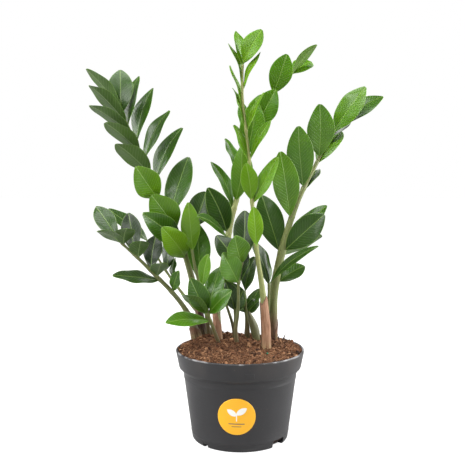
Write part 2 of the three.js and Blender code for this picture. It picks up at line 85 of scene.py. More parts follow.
# ---- the fronds ----------------------------------------------------------------------------
# path: X, Y and height above the soil's edge. radii: evenly spread along the path.
# leaves: name, share of the path, tip from there, width, turn in degrees, tone.
# A turn of 0 shows the upper face to the front, 180 the underside. Tone 0 is dark, 1 is young.
# Besides age, the tones hold painted shade and light: blades that stand in shadow get low tones,
# and some lit or backlit blades get high ones.
FRONDS = {
    "left_tall": {
        "path": [(-45, 48, 1), (-52, 43, 41), (-61, 28, 90), (-75, 10, 138), (-92, -6, 172),
                 (-104, -18, 212), (-118, -27, 244), (-133, -34, 276)],
        "radii": (5.4, 4.6, 4, 3.4, 2.8, 2.2, 1.8, 1.4, 1),
        "leaves": [
            ("l1", 0.99, (-38, -12, 50), 26, 125, 0.38), ("l2", 0.96, (-35, -30, 38), 28, 128, 0.4),
            ("l3", 0.91, (-41, -34, 30), 26, 125, 0.4), ("l4", 0.84, (-34, -34, 31), 29, 135, 0.42),
            ("l5", 0.75, (-33, -36, 33), 31, 142, 0.45), ("l6", 0.655, (-19, -42, 35), 32, 15, 0.8),
            ("l7", 0.5, (-24, -36, 44), 35, 10, 0.72), ("l8", 0.44, (-38, -54, 39), 29, 15, 0.42),
            ("l9", 0.38, (-22, -56, 40), 30, 15, 0.95), ("r0", 1, (-3, 12, 50), 29, 0, 0.35),
            ("r1", 0.95, (10, 20, 58), 28, -50, 0.3), ("r2", 0.88, (17, 20, 64), 29, -45, 0.35),
            ("r3", 0.81, (26, 22, 58), 28, -50, 0.33), ("r4", 0.71, (31, 22, 66), 30, -46, 0.32),
            ("r5", 0.56, (22, 20, 72), 32, -20, 0.38),
        ],
    },
    "centre_tall": {
        "path": [(-24, 14, -1), (-28, 17, 47), (-22, 22, 87), (-11, 32, 151), (-2, 40, 186),
                 (10, 50, 239), (24, 58, 277), (41, 66, 308), (67, 74, 337)],
        "radii": (4.4, 4.6, 4.4, 3.8, 3.2, 2.6, 2.1, 1.6, 1.1),
        "leaves": [
            ("u1", 0.9, (16, -12, 47), 29, 5, 0.66), ("u2", 1, (30, -10, 34), 22, -120, 0.85),
            ("u3", 1, (27, 20, 18), 26, -35, 0.66), ("u4", 0.76, (24, -14, 46), 31, -10, 0.66),
            ("u5", 0.79, (3, 32, 36), 25, -30, 0.6), ("u6", 0.66, (11, -16, 66), 31, -10, 0.66),
            ("u7", 0.69, (-8, 18, 58), 27, 50, 0.55), ("u8", 0.5, (7, -22, 66), 28, 22, 0.72),
            ("u9", 0.58, (-19, 22, 50), 24, 55, 0.5), ("n1", 0.47, (-27, 16, 58), 24, 55, 0.45),
            ("g1", 0.39, (-23, -14, 54), 29, 10, 0.2), ("g2", 0.37, (-34, -42, 28), 20, 65, 0.35),
        ],
    },
    "right_tall": {
        "path": [(42, 44, -2), (42, 40, 28), (42, 37, 58), (46, 33, 88), (60, 31, 146),
                 (76, 36, 187), (91, 44, 215), (104, 51, 240), (120, 59, 267)],
        "radii": (4.7, 5.2, 5.4, 5, 4, 3.2, 2.6, 2, 1.1),
        "leaves": [
            ("v1", 0.56, (-14, -22, 79), 33, 10, 0.72), ("v2", 0.7, (-9, -24, 72), 33, 0, 0.62),
            ("v3", 0.85, (-3, -27, 62), 34, 5, 0.62), ("v4", 0.98, (37, -16, 54), 30, -25, 0.7),
            ("v5", 1, (61, 8, 41), 28, -40, 0.45), ("v6", 0.93, (30, 22, 28), 26, -60, 0.45),
            ("v7", 0.82, (34, 24, 42), 31, -40, 0.7), ("v8", 0.69, (22, 22, 26), 19, -50, 0.35),
            ("w1", 0.41, (-21, 12, 68), 34, 10, 0.3), ("w2", 0.42, (45, -22, 45), 33, -18, 0.28),
            ("w3", 0.45, (50, 8, 46), 26, -45, 0.4), ("w4", 0.4, (48, 10, 22), 26, -135, 0.35),
            ("w6", 0.275, (34, 14, 18), 25, -40, 0.42),
        ],
    },
    "centre_young": {
        "path": [(31, -9, -3), (30, -9, 30), (26, -12, 73), (19, -19, 120), (14, -27, 168),
                 (10, -35, 220), (6, -42, 256), (2, -50, 291), (2, -57, 327)],
        "radii": (5.4, 4.9, 3.5, 2.7, 2.4, 2.1, 1.8, 1.6, 1.3, 1),
        "leaves": [
            ("t1", 0.99, (-7, 6, 39), 18, 45, 0.72), ("t2", 1, (20, -8, 34), 23, -25, 0.78),
            ("n1", 0.93, (-15, -6, 44), 8, 55, 0.8), ("n2", 0.92, (19, -8, 38), 10, -50, 0.85),
            ("n3", 0.85, (-15, -6, 48), 8, 55, 0.8), ("n4", 0.79, (-14, -9, 44), 9, 50, 0.8),
            ("n5", 0.78, (18, -10, 42), 10, -55, 0.85), ("n6", 0.68, (-17, -12, 40), 16, 50, 0.78),
            ("n7", 0.69, (23, -10, 42), 14, -45, 0.75), ("b1", 0.55, (-6, -10, 42), 20, 0, 0.85),
            ("b2", 0.54, (27, -10, 52), 21, -40, 0.78), ("m1", 0.39, (-4, -14, 46), 19, 15, 1.0),
        ],
    },
    "left_low": {
        "path": [(-52, 32, 1), (-58, 29, 24), (-68, 24, 46), (-83, 14, 68), (-101, 0, 90),
                 (-119, -12, 111), (-135, -21, 128), (-143, -26, 138)],
        "radii": (7, 4.6, 3, 2.7, 2.4, 2, 1.6, 1),
        "leaves": [
            ("a", 0.98, (-29, 24, 35), 23, 15, 0.25), ("c", 0.82, (-10, 22, 47), 24, 0, 0.05),
            ("d", 0.93, (-24, -24, 16), 23, 130, 0.3), ("e", 0.92, (8, -26, 20), 25, -150, 0.3),
            ("f", 0.79, (7, -24, 21), 24, -150, 0.32), ("g", 0.66, (4, 26, 39), 23, 0, 0.05),
            ("h", 0.56, (-52, -20, 9), 22, 57, 0.28), ("i", 0.6, (8, -26, 18), 22, -150, 0.35),
            ("j", 0.43, (8, -12, 26), 16, -30, 0.45),
        ],
    },
    "right_low": {
        "path": [(31, 50, -2), (33, 38, 26), (35, 25, 52), (35, 14, 77)],
        "radii": (2.4, 2.3, 2, 1.3),
        "leaves": [
            ("w5", 1, (58, -14, 47), 20, -66, 0.3), ("w7", 0.93, (-11, 14, 52), 18, 55, 0.3),
            ("m2", 0.98, (-22, -10, 57), 21, 50, 0.18),
        ],
    },
    "centre_low": {
        "path": [(-3, 4, 1), (-5, 1, 24), (-3, -2, 42), (-2, -5, 61), (-2, -8, 79), (2, -12, 106)],
        "radii": (2.5, 2.2, 2, 1.8, 1.6, 1.3),
        "leaves": [
            ("k", 1, (-8, -24, 33), 29, 15, 0.66), ("l", 0.77, (-18, -24, 38), 28, 25, 0.6),
            ("p", 0.77, (9, 16, 36), 25, -45, 0.15), ("o", 0.96, (-29, 12, 35), 27, 25, 0.08),
            ("j", 1, (4, 30, 60), 28, 0, 0.08),
        ],
    },
    "left_inner": {
        "path": [(-38, 38, 1), (-41, 31, 36), (-44, 24, 56), (-49, 16, 78), (-55, 8, 104),
                 (-60, 8, 144)],
        "radii": (2.8, 2.6, 2.4, 2.1, 1.7, 1.2),
        "leaves": [
            ("e", 0.83, (-3, -20, 58), 23, 10, 0.85), ("f", 0.56, (-4, 14, 70), 29, 12, 0.55),
            ("h", 1, (18, 26, 44), 31, 0, 0.2),
        ],
    },
    "left_back": {
        "path": [(-28, 38, 1), (-44, 55, 22), (-71, 66, 54), (-91, 70, 80), (-108, 72, 107),
                 (-118, 72, 125)],
        "radii": (2.3, 2.2, 2, 1.7, 1.4, 1.1),
        "leaves": [
            ("k", 0.72, (0, 8, 42), 23, 50, 0.08), ("b", 1, (-50, -4, 41), 25, 50, 0.3),
            ("k2", 0.62, (2, 10, 28), 14, -50, 0.15),
        ],
    },
    "front_low": {
        "path": [(-23, 2, 1), (-32, -8, 28), (-38, -18, 48), (-44, -24, 80)],
        "radii": (2.4, 2.2, 1.8, 1.2),
        "leaves": [
            ("o", 0.62, (-18, -20, 44), 25, 20, 0.42), ("p", 0.58, (-28, -30, 30), 23, 135, 0.4),
            ("q", 0.6, (27, -18, 30), 23, -40, 0.5), ("r", 0.48, (-49, -26, 3), 24, 57, 0.6),
            ("s", 1, (7, -6, 38), 16, -25, 0.75), ("q2", 0.66, (14, 14, 48), 23, -15, 0.55),
        ],
    },
    "back_low": {
        "path": [(-6, 56, 0), (-9, 50, 20), (-14, 44, 38), (-22, 38, 60)],
        "radii": (2.3, 2, 1.7, 1.2),
        "leaves": [
            ("s2", 1, (1, -8, 40), 25, 20, 0.7), ("s3", 0.9, (-24, 8, 30), 21, 35, 0.5),
        ],
    },
    "inner_small": {
        "path": [(-8, 22, 1), (-6, 20, 27), (-6, 18, 46)],
        "radii": (2.1, 1.8, 1.3),
        "leaves": [
            ("b", 0.97, (-11, -6, 36), 21, 20, 0.22), ("b2", 0.9, (9, -6, 28), 19, -25, 0.3),
        ],
    },
    "inner_short": {
        "path": [(9, 32, 1), (9, 29, 21), (8, 27, 38), (6, 24, 66)],
        "radii": (2.2, 3.6, 2.4, 1.6, 1.3, 1.1),
        "leaves": [
            ("t", 0.6, (-23, -2, 38), 26, 25, 0.28), ("t2", 0.56, (14, 2, 20), 15, -30, 0.3),
            ("t3", 0.62, (16, 12, 26), 16, -40, 0.4), ("t4", 1, (12, -6, 44), 24, -45, 0.35),
        ],
    },
}
YOUNG = ("centre_tall", "centre_young")
SHOOT = {"path": [(22, 24, -1), (18, 23, 20), (11, 20, 41)], "radii": (3, 4.6, 5.4, 5.1, 3.8, 1.6)}
# How brown each stem is at its foot, how far up that reaches, and its tone lower and higher up.
STEM_LOOKS = {
    "left_tall": (1.0, 60, 0.3, 0.45), "centre_tall": (0.6, 40, 0.6, 0.75),
    "right_tall": (0.95, 40, 0.42, 0.5), "centre_young": (0.0, 0, 0.62, 0.72),
    "left_low": (0.7, 26, 0.25, 0.4), "young_shoot": (0.0, 0, 0.12, 0.12),
}
PLAIN_STEM = (0.5, 34, 0.25, 0.42)
# Dry sheath leaves round a stem's foot: frond, top share of the path, angle of the opening,
# how much of the round it covers, how far the top edge slants, tone from pale pink to dark.
SHEATHS = (
    ("centre_young", 0.205, 200, 0.96, 0.1, 0.16), ("left_low", 0.13, 60, 0.9, 0.35, 0.62),
    ("left_tall", 0.16, 150, 0.85, 0.5, 1.0), ("right_tall", 0.12, 250, 0.8, 0.5, 0.5),
    ("centre_tall", 0.15, 20, 0.75, 0.45, 0.22),
)
ABOUT_RADIUS = 5  # of a sheath, for turning angles into lengths round it
SHEATH_SINK = 3  # how far a sheath's foot goes on under the path's start
SHEATH_GAP = 0.45  # from the stem's skin, and how much it flares at the top
SHEATH_FLARE = 0.35
SHEATH_THICK = 0.32


# ---- curves --------------------------------------------------------------------------------
def curve(path, count=400):
    """A centripetal Catmull-Rom line through the points, as evenly spaced points and tangents.

    Between two points it is a cubic whose end slopes come from the neighbours, each weighed by
    the square root of the distance to it. Past an end, the neighbour is that end mirrored.
    """
    p = np.array(path, float)
    p[:, 2] += SOIL_LEVEL
    p = np.vstack([2 * p[0] - p[1], p, 2 * p[-1] - p[-2]])
    gaps = np.sqrt(np.linalg.norm(np.diff(p, axis=0), axis=1))[:, None]
    spans = len(p) - 3
    place = np.linspace(0, spans, count * 4)
    i = np.minimum(place.astype(int), spans - 1)
    t = (place - i)[:, None]
    a, b, c, d = p[i], p[i + 1], p[i + 2], p[i + 3]
    before, here, after = gaps[i], gaps[i + 1], gaps[i + 2]
    slope_b = ((b - a) / before - (c - a) / (before + here) + (c - b) / here) * here
    slope_c = ((c - b) / here - (d - b) / (here + after) + (d - c) / after) * here
    t2, t3 = t**2, t**3
    line = (b * (2 * t3 - 3 * t2 + 1) + slope_b * (t3 - 2 * t2 + t)
            + c * (3 * t2 - 2 * t3) + slope_c * (t3 - t2))
    run = np.concatenate([[0], np.cumsum(np.linalg.norm(np.diff(line, axis=0), axis=1))])
    even = np.linspace(0, run[-1], count)
    points = np.stack([np.interp(even, run, line[:, k]) for k in range(3)], axis=1)
    return points, unit(np.gradient(points, axis=0)), run[-1]


def unit(vectors):
    """Each vector divided by its length."""
    return vectors / np.maximum(np.linalg.norm(vectors, axis=-1, keepdims=True), 1e-9)


def angles(count):
    """Even angles once round, in radians."""
    return np.linspace(0, 2 * np.pi, count, endpoint=False)


def at(values, share):
    """The value at a share of an evenly spread row of numbers or points."""
    values = np.asarray(values, float)
    places = np.linspace(0, 1, len(values))
    if values.ndim == 1:
        return np.interp(share, places, values)
    return np.stack([np.interp(share, places, values[:, k]) for k in range(3)], axis=-1)


def smooth_step(low, high, value):
    """0 below low, 1 above high, and an S curve between."""
    t = np.clip((value - low) / (high - low), 0, 1)
    return t * t * (3 - 2 * t)


def value_noise(x, y, cell, seed):
    """Random heights from -1 to 1 on a square lattice, joined by S curves."""
    lattice = np.random.default_rng(seed).uniform(-1, 1, (256, 256))
    u, v = x / cell + 100, y / cell + 100
    i, j = np.floor(u).astype(int), np.floor(v).astype(int)
    s, t = smooth_step(0, 1, u - i), smooth_step(0, 1, v - j)
    i, j = i % 255, j % 255
    low = lattice[i, j] * (1 - s) + lattice[i + 1, j] * s
    high = lattice[i, j + 1] * (1 - s) + lattice[i + 1, j + 1] * s
    return low * (1 - t) + high * t


def wall_radius(height):
    """Radius of the pot's outer wall: a straight cone from the foot to the shoulder."""
    return BASE_RADIUS + (BODY_RADIUS - BASE_RADIUS) * (height - FOOT_TOP) / (
        SHOULDER_BOTTOM - FOOT_TOP)


def heap(x, y):
    """Height of the soil above its edge: one broad bell left of and behind the middle."""
    bell = 8 * np.exp(-(np.hypot(x + 22, y - 22) / 56) ** 2)
    return bell * np.clip((1 - np.hypot(x, y) / SOIL_EDGE) * 5, 0, 1)


# ---- meshes --------------------------------------------------------------------------------
def ring_faces(rows, size):
    """Quads that join each ring to the next, all the way round."""
    i, j = np.meshgrid(np.arange(rows - 1), np.arange(size), indexing="ij")
    a = i * size + j
    b = i * size + (j + 1) % size
    return np.stack([a, b, b + size, a + size], axis=-1).reshape(-1, 4)


def closed_tube(rings):
    """A tube of rings whose first and last ring are each closed by one middle point.

    Returns points and faces. The rings run anticlockwise seen from the tube's far end.
    """
    rows, size = rings.shape[:2]
    points = np.vstack([rings.reshape(-1, 3), rings[0].mean(0), rings[-1].mean(0)])
    quads = ring_faces(rows, size)
    j = np.arange(size)
    k = (j + 1) % size
    foot, top = rows * size, rows * size + 1
    start = np.stack([k, j, np.full(size, foot)], axis=1)
    last = (rows - 1) * size
    end = np.stack([last + j, last + k, np.full(size, top)], axis=1)
    return points, [*quads.tolist(), *start.tolist(), *end.tolist()]


def with_ends(values, ends=(0, 0)):
    """The values of a tube's rings, then those of its two middle points."""
    return np.append(np.ravel(values), ends)


def add_object(name, data):
    """A new object in the scene."""
    made = bpy.data.objects.new(name, data)
    bpy.context.scene.collection.objects.link(made)
    return made


def make_piece(name, body, look, nodes=(), marks=None, smooth=True):
    """One object in metres from points in millimetres, with its marks as point attributes."""
    points, faces = body
    mesh = bpy.data.meshes.new(name)
    mesh.from_pydata((np.asarray(points) * MM).tolist(), [], faces)
    mesh.update()
    for mark, values in (marks or {}).items():
        layer = mesh.attributes.new(mark, "FLOAT", "POINT")
        layer.data.foreach_set("value", np.ascontiguousarray(values, np.float32).ravel())
    if smooth:
        mesh.shade_smooth()
    mesh.materials.append(finishes()[look])
    piece = add_object(name, mesh)
    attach(piece, "root")
    if nodes:
        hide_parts(*nodes)
    return piece


def around(centre, heading, angle, reach):
    """Points round a line: each centre plus its reach times cosine and sine of the angle along
    two directions square to the heading."""
    side = unit(np.cross(DEPTH, heading))
    up = np.cross(heading, side)
    turn = angle[..., None]
    return centre + (side * np.cos(turn) + up * np.sin(turn)) * reach[..., None]


def repaint(node, look):
    """Gives a node of the CAD its finish."""
    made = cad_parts[node]
    made.data.materials.clear()
    made.data.materials.append(finishes()[look])


def many(shape, faces, places, turns, sizes):
    """Copies of one small shape: each is the shape times its size, turned, then put in place."""
    count, corners = len(places), len(shape)
    points = np.einsum("nij,nkj->nki", turns, shape[None] * sizes[:, None, :]) + places[:, None, :]
    shifts = (np.arange(count) * corners)[:, None, None]
    return points.reshape(-1, 3), (np.asarray(faces)[None] + shifts).reshape(-1, len(faces[0]))


def random_turns(rng, count, flat=0.0):
    """Turn matrices from random unit quaternions; flat near 1 keeps the shape's Z mostly up."""
    q = rng.normal(size=(count, 4))
    q[:, 1:3] *= 1 - flat
    w, x, y, z = (q / np.linalg.norm(q, axis=1, keepdims=True)).T
    return np.stack([
        np.stack([1 - 2 * (y * y + z * z), 2 * (x * y - w * z), 2 * (x * z + w * y)], -1),
        np.stack([2 * (x * y + w * z), 1 - 2 * (x * x + z * z), 2 * (y * z - w * x)], -1),
        np.stack([2 * (x * z - w * y), 2 * (y * z + w * x), 1 - 2 * (x * x + y * y)], -1),
    ], axis=1)


# ---- materials -----------------------------------------------------------------------------
class Finish:
    """One material's node tree, with short ways to add and join its nodes."""

    def __init__(self, name, roughness, **sockets):
        self.material = bpy.data.materials.new(name)
        self.material.use_nodes = True
        self.tree = self.material.node_tree
        self.surface = self.tree.nodes["Principled BSDF"]
        self.surface.inputs["Roughness"].default_value = roughness
        for socket, value in sockets.items():
            self.surface.inputs[socket.replace("_", " ")].default_value = value

    def node(self, kind, inputs=(), **settings):
        made = self.tree.nodes.new("ShaderNode" + kind)
        for key, value in settings.items():
            setattr(made, key, value)
        for key, value in dict(inputs).items():
            if isinstance(value, bpy.types.NodeSocket):
                self.tree.links.new(value, made.inputs[key])
            elif made.inputs[key].type == "RGBA":
                made.inputs[key].default_value = (*value, 1)
            else:
                made.inputs[key].default_value = value
        return made

    def math(self, operation, a, b=0.0, clamp=False):
        return self.node("Math", {0: a, 1: b}, operation=operation, use_clamp=clamp).outputs[0]

    def plus(self, a, b, clamp=False):
        return self.math("ADD", a, b, clamp)

    def times(self, a, b):
        return self.math("MULTIPLY", a, b)

    def rest(self, value):
        """1 less the value."""
        return self.math("SUBTRACT", 1.0, value)

    def gap(self, a, b):
        """How far a is from b, either way."""
        return self.math("ABSOLUTE", self.math("SUBTRACT", a, b))

    def step(self, value, low, high):
        """0 where value is at low, 1 where it is at high, an S curve between."""
        made = self.node("MapRange", {"Value": value, "From Min": low, "From Max": high},
                         interpolation_type="SMOOTHSTEP")
        return made.outputs[0]

    def within(self, value, low, high):
        """1 where value is at low or under it, 0 where it is at high."""
        return self.rest(self.step(value, low, high))

    def spread(self, value, low, high):
        """A 0 to 1 value spread evenly from low to high."""
        return self.node("MapRange", {"Value": value, "To Min": low, "To Max": high}).outputs[0]

    def blend(self, share, a, b, how="MIX"):
        made = self.node("Mix", {0: share, 6: a, 7: b}, data_type="RGBA", blend_type=how)
        return made.outputs[2]

    def tint(self, colour, other, where, amount):
        """The colour with a share of another, at most the amount, where "where" is 1."""
        return self.blend(self.times(where, amount), colour, other)

    def mark(self, name):
        return self.node("Attribute", attribute_name=name).outputs["Fac"]

    def place(self, stretch=(1, 1, 1)):
        where = self.node("TexCoord").outputs["Object"]
        return self.node("Mapping", {"Vector": where, "Scale": stretch}).outputs[0]

    def noise(self, scale, detail=3.0, roughness=0.55, stretch=(1, 1, 1), vector=None):
        where = vector or self.place(stretch)
        made = self.node("TexNoise", {"Vector": where, "Scale": scale, "Detail": detail,
                                      "Roughness": roughness})
        return made.outputs["Fac"]

    def vector(self, x, y, z=0.0):
        return self.node("CombineXYZ", {0: x, 1: y, 2: z}).outputs[0]

    def ramp(self, value, stops):
        made = self.node("ValToRGB", {0: value})
        marks = made.color_ramp.elements
        while len(marks) < len(stops):
            marks.new(0.5)
        for element, (place, colour) in zip(marks, stops):
            element.position = place
            element.color = (*colour, 1)
        return made.outputs["Color"]

    def bump(self, height, depth, **under):
        """Depth in metres for a height of 1."""
        return self.node("Bump", {"Height": height, "Distance": depth, **under}).outputs[0]

    def set(self, **sockets):
        for socket, value in sockets.items():
            self.tree.links.new(value, self.surface.inputs[socket.replace("_", " ")])
        return self.material


def leaf_finish(name, settings, young):
    """A waxy blade: the upper face deep green and glossy with a pale midrib, faint side veins and
    a light rim; the underside paler, duller and more clearly veined."""
    f = Finish(name, 0.35, Subsurface_Weight=0.08 if young else 0.03,
               Coat_Weight=0.03 if young else 0.2, Coat_Roughness=0.16,
               Specular_IOR_Level=0.2 if young else 0.32)
    f.surface.inputs["Subsurface Radius"].default_value = (0.4, 1.0, 0.1)
    f.surface.inputs["Subsurface Scale"].default_value = 0.0012
    across = f.math("ABSOLUTE", f.mark("across"))
    is_top = f.step(f.mark("side"), -0.15, 0.15)
    cloud = f.noise(24, 4)
    fine = f.noise(420, 3, 0.6)
    # The tone mark carries each blade's age and also painted shade and light, set blade by blade.
    tone = f.plus(f.mark("tone"), f.spread(cloud, -0.2, 0.2))
    top = f.ramp(tone, [
        (0.0, (0.009, 0.022, 0.004)), (0.3, settings.leaf_dark), (0.6, settings.leaf_mid),
        (1.0, settings.leaf_young)])
    top = f.blend(f.spread(fine, 0.0, 0.3), top, (0.3, 0.4, 0.3), "MULTIPLY")
    wander = f.spread(f.noise(90, 2), -0.9, 0.9)
    vein = f.math("PINGPONG", f.plus(f.mark("vein"), wander), 2.1)
    line = f.step(vein, 1.6, 2.05)
    line = f.times(line, f.step(across, 0.4, 1.4))
    rib = f.within(across, 0.2, 0.85)
    rim = f.within(f.mark("edge"), 0.15, 0.8)
    pale = f.blend(0.45, top, (0.26, 0.40, 0.08))
    top = f.tint(top, pale, line, 0.1)
    top = f.tint(top, pale, rib, 0.8)
    low = f.blend(0.6, f.ramp(tone, [(0.0, (0.02, 0.045, 0.012)), (1.0, settings.leaf_young)]),
                  settings.leaf_under)
    low = f.tint(low, (0.16, 0.25, 0.08), line, 0.35)
    low = f.tint(low, (0.23, 0.33, 0.12), rib, 0.7)
    colour = f.blend(is_top, low, top)
    colour = f.tint(colour, (0.21, 0.34, 0.07), rim, 0.62)
    dull = f.plus(f.spread(is_top, 0.46, settings.leaf_roughness), f.spread(f.noise(60, 4), -0.1, 0.12))
    height = f.plus(f.times(line, -0.5), f.times(rib, -0.8))
    height = f.plus(height, f.spread(cloud, -0.9, 0.9))
    height = f.plus(height, f.spread(f.noise(70, 2), -0.25, 0.25))
    return f.set(Base_Color=colour, Roughness=dull, Normal=f.bump(height, settings.vein_depth))


def stem_finish(settings):
    """Olive to tan skin with long faint streaks and dark cross flecks, browner at the foot."""
    f = Finish("stem skin", 0.42, Subsurface_Weight=0.04, Specular_IOR_Level=0.45)
    f.surface.inputs["Subsurface Scale"].default_value = 0.001
    along, turn = f.mark("along"), f.mark("round")
    tone = f.mark("tone")
    streaks = f.noise(1.0, 4, 0.6, vector=f.vector(f.times(turn, 1.6), f.times(along, 0.09), tone))
    flecks = f.noise(1.0, 3, 0.55, vector=f.vector(f.times(turn, 0.9), f.times(along, 0.55), tone))
    skin = f.ramp(f.plus(tone, f.spread(streaks, -0.25, 0.25)), [
        (0.0, settings.stem_old), (0.5, settings.stem_mid), (1.0, settings.stem_young)])
    skin = f.tint(skin, (0.07, 0.06, 0.03), f.step(flecks, 0.56, 0.68), 0.55)
    brown = f.blend(f.step(streaks, 0.3, 0.7), (0.075, 0.035, 0.022), (0.20, 0.115, 0.07))
    skin = f.blend(f.mark("brown"), skin, brown)
    height = f.plus(f.spread(streaks, -0.5, 0.5), f.spread(flecks, -0.4, 0.4))
    return f.set(Base_Color=skin, Roughness=f.spread(flecks, 0.34, 0.55),
                 Normal=f.bump(height, 0.00035))


def sheath_finish(settings):
    """Papery dry leaf sheath: pink-tan to dark brown with fine long ribs and torn darker edges."""
    f = Finish("dry sheath", 0.55, Specular_IOR_Level=0.35)
    along, turn = f.mark("along"), f.mark("round")
    ribs = f.noise(1.0, 4, 0.65, vector=f.vector(f.times(turn, 2.4), f.times(along, 0.05)))
    blotch = f.noise(90, 4, 0.6)
    tone = f.plus(f.mark("tone"), f.spread(blotch, -0.3, 0.3))
    skin = f.ramp(tone, [(0.0, settings.sheath_pale), (0.5, (0.20, 0.10, 0.06)),
                         (1.0, (0.05, 0.022, 0.014))])
    skin = f.blend(f.step(ribs, 0.42, 0.66), skin, (0.5, 0.36, 0.24), "MULTIPLY")
    green = f.times(f.step(along, 22.0, 4.0), f.step(ribs, 0.6, 0.45))
    skin = f.blend(f.times(green, f.spread(blotch, 0.1, 0.8)), skin, (0.33, 0.33, 0.14))
    torn = f.within(f.mark("edge"), 0.0, 1.4)
    skin = f.tint(skin, (0.06, 0.03, 0.02), torn, 0.6)
    return f.set(Base_Color=skin, Roughness=f.spread(ribs, 0.45, 0.7),
                 Normal=f.bump(ribs, 0.0006))


def pot_finish(settings):
    """Thin moulded plastic, near black: fine grain, faint flow rings, painted highlight specks along the
    top of the lip, soil dust, and a small raised patch on the front of the band. Its places are in
    millimetres."""
    f = Finish("pot plastic", 0.4, Specular_IOR_Level=0.42)
    grain = f.noise(900, 3, 0.6)
    flow = f.noise(30, 4, 0.6, (0.35, 0.35, 5.0))
    smear = f.noise(14, 5, 0.65, (1.0, 1.0, 0.35))
    speck = f.node("TexVoronoi", {"Vector": f.place(), "Scale": 190.0}).outputs["Distance"]
    x, y, z = f.node("SeparateXYZ", {0: f.place((1 / MM,) * 3)}).outputs
    colour = f.blend(f.spread(smear, 0.0, 1.0), settings.pot_colour,
                     tuple(v * 1.5 + 0.004 for v in settings.pot_colour))
    dust = f.times(f.step(z, 70.0, POT_HEIGHT), f.step(smear, 0.42, 0.75))
    specks = f.within(speck, 0.05, 0.16)
    specks = f.times(specks, f.step(f.noise(18, 2), 0.5, 0.66))
    dust = f.plus(f.times(dust, 0.12), f.times(specks, 0.22), clamp=True)
    colour = f.blend(dust, colour, (0.17, 0.13, 0.10))
    # Painted highlight: pale grey specks along the top of the lip, where light catches it.
    lip_highlight = f.times(f.step(z, POT_HEIGHT - 1.8, POT_HEIGHT - 0.4), f.step(f.noise(55, 4), 0.5, 0.62))
    colour = f.tint(colour, (0.45, 0.45, 0.46), lip_highlight, 0.5)
    wear = f.step(f.noise(8, 4, 0.6, (1.0, 1.0, 4.0)), 0.55, 0.75)
    colour = f.tint(colour, (0.09, 0.088, 0.09), wear, 0.25)
    dull = f.plus(f.spread(smear, 0.28, 0.5), f.times(dust, 0.5))
    height = f.plus(f.spread(grain, -0.1, 0.1), f.spread(flow, -0.5, 0.5))
    patch_x, patch_z, soft = 10.0, 92.0, 0.5
    wide = f.within(f.gap(x, patch_x), 4.6, 4.6 + soft)
    high = f.within(f.gap(z, patch_z), 2.2, 2.2 + soft)
    patch = f.times(f.times(wide, high), f.step(y, 0.0, -20.0))
    normal = f.bump(height, 0.00025)
    return f.set(Base_Color=colour, Roughness=dull, Normal=f.bump(patch, 0.0005, Normal=normal))


def coir_finish(name, tint):
    """Damp coconut fibre: every crumb has its own brown, with straw-pale ends; on the bed the dark pits
    are painted shade, in its hollows and between the crumbs.
    """
    f = Finish(name, 0.85, Specular_IOR_Level=0.25)
    clump = f.noise(120, 4, 0.65)
    grit = f.noise(900, 3, 0.7)
    shade = f.plus(f.mark("shade"), f.spread(clump, -0.35, 0.35))
    colour = f.ramp(shade, [(0.0, (0.022, 0.010, 0.006)), (0.35, tuple(v * 0.55 for v in tint)),
                            (0.7, tint), (1.0, (0.42, 0.23, 0.12))])
    colour = f.blend(f.spread(grit, 0.0, 0.6), colour, (0.3, 0.2, 0.12), "MULTIPLY")
    height = f.plus(f.spread(clump, -0.6, 0.6), f.spread(grit, -0.3, 0.3))
    return f.set(Base_Color=colour, Normal=f.bump(height, 0.0006))


def label_finish(settings):
    """Coated paper, warm yellow, printed with a plain white sprout over two short dark rules."""
    f = Finish("label paper", 0.38, Specular_IOR_Level=0.5, Coat_Weight=0.2, Coat_Roughness=0.25)
    x, y = f.mark("label_x"), f.mark("label_y")

    soft = 0.12

    def disc(cx, cy, radius):
        dx, dy = f.gap(x, cx), f.gap(y, cy)
        far = f.math("SQRT", f.plus(f.times(dx, dx), f.times(dy, dy)))
        return f.within(far, radius - soft, radius + soft)

    def bar(cx, cy, wide, high):
        return f.times(f.within(f.gap(x, cx), wide - soft, wide + soft),
                       f.within(f.gap(y, cy), high - soft, high + soft))

    left = f.times(disc(-8.2, 0.4, 8.4), disc(-2.2, 9.0, 8.4))
    right = f.times(disc(8.6, 1.6, 9.0), disc(2.4, 10.8, 9.0))
    white = f.math("MAXIMUM", f.math("MAXIMUM", left, right), bar(0.0, -0.6, 0.5, 4.6))
    dark = f.math("MAXIMUM", bar(0.0, -8.4, 9.0, 0.55), bar(0.0, -11.6, 5.5, 0.4))
    fade = f.spread(f.noise(160, 4, 0.6), 0.0, 0.12)
    paper = f.blend(fade, settings.label_colour, (0.7, 0.33, 0.02))
    paper = f.blend(white, paper, (0.86, 0.85, 0.80))
    paper = f.tint(paper, (0.05, 0.07, 0.09), dark, 0.85)
    return f.set(Base_Color=paper, Roughness=f.spread(f.noise(240, 3), 0.32, 0.46),
                 Normal=f.bump(f.noise(500, 2), 0.00004))


def husk_finish(name, dark, light, scale=220.0):
    """Dry rough skin, mottled between two colours."""
    f = Finish(name, 0.75, Specular_IOR_Level=0.3)
    mottle = f.noise(scale, 5, 0.65, (1, 1, 0.4))
    colour = f.blend(f.step(mottle, 0.32, 0.7), dark, light)
    return f.set(Base_Color=colour, Roughness=f.spread(mottle, 0.6, 0.85),
                 Normal=f.bump(mottle, 0.0005))


FINISHES = {}


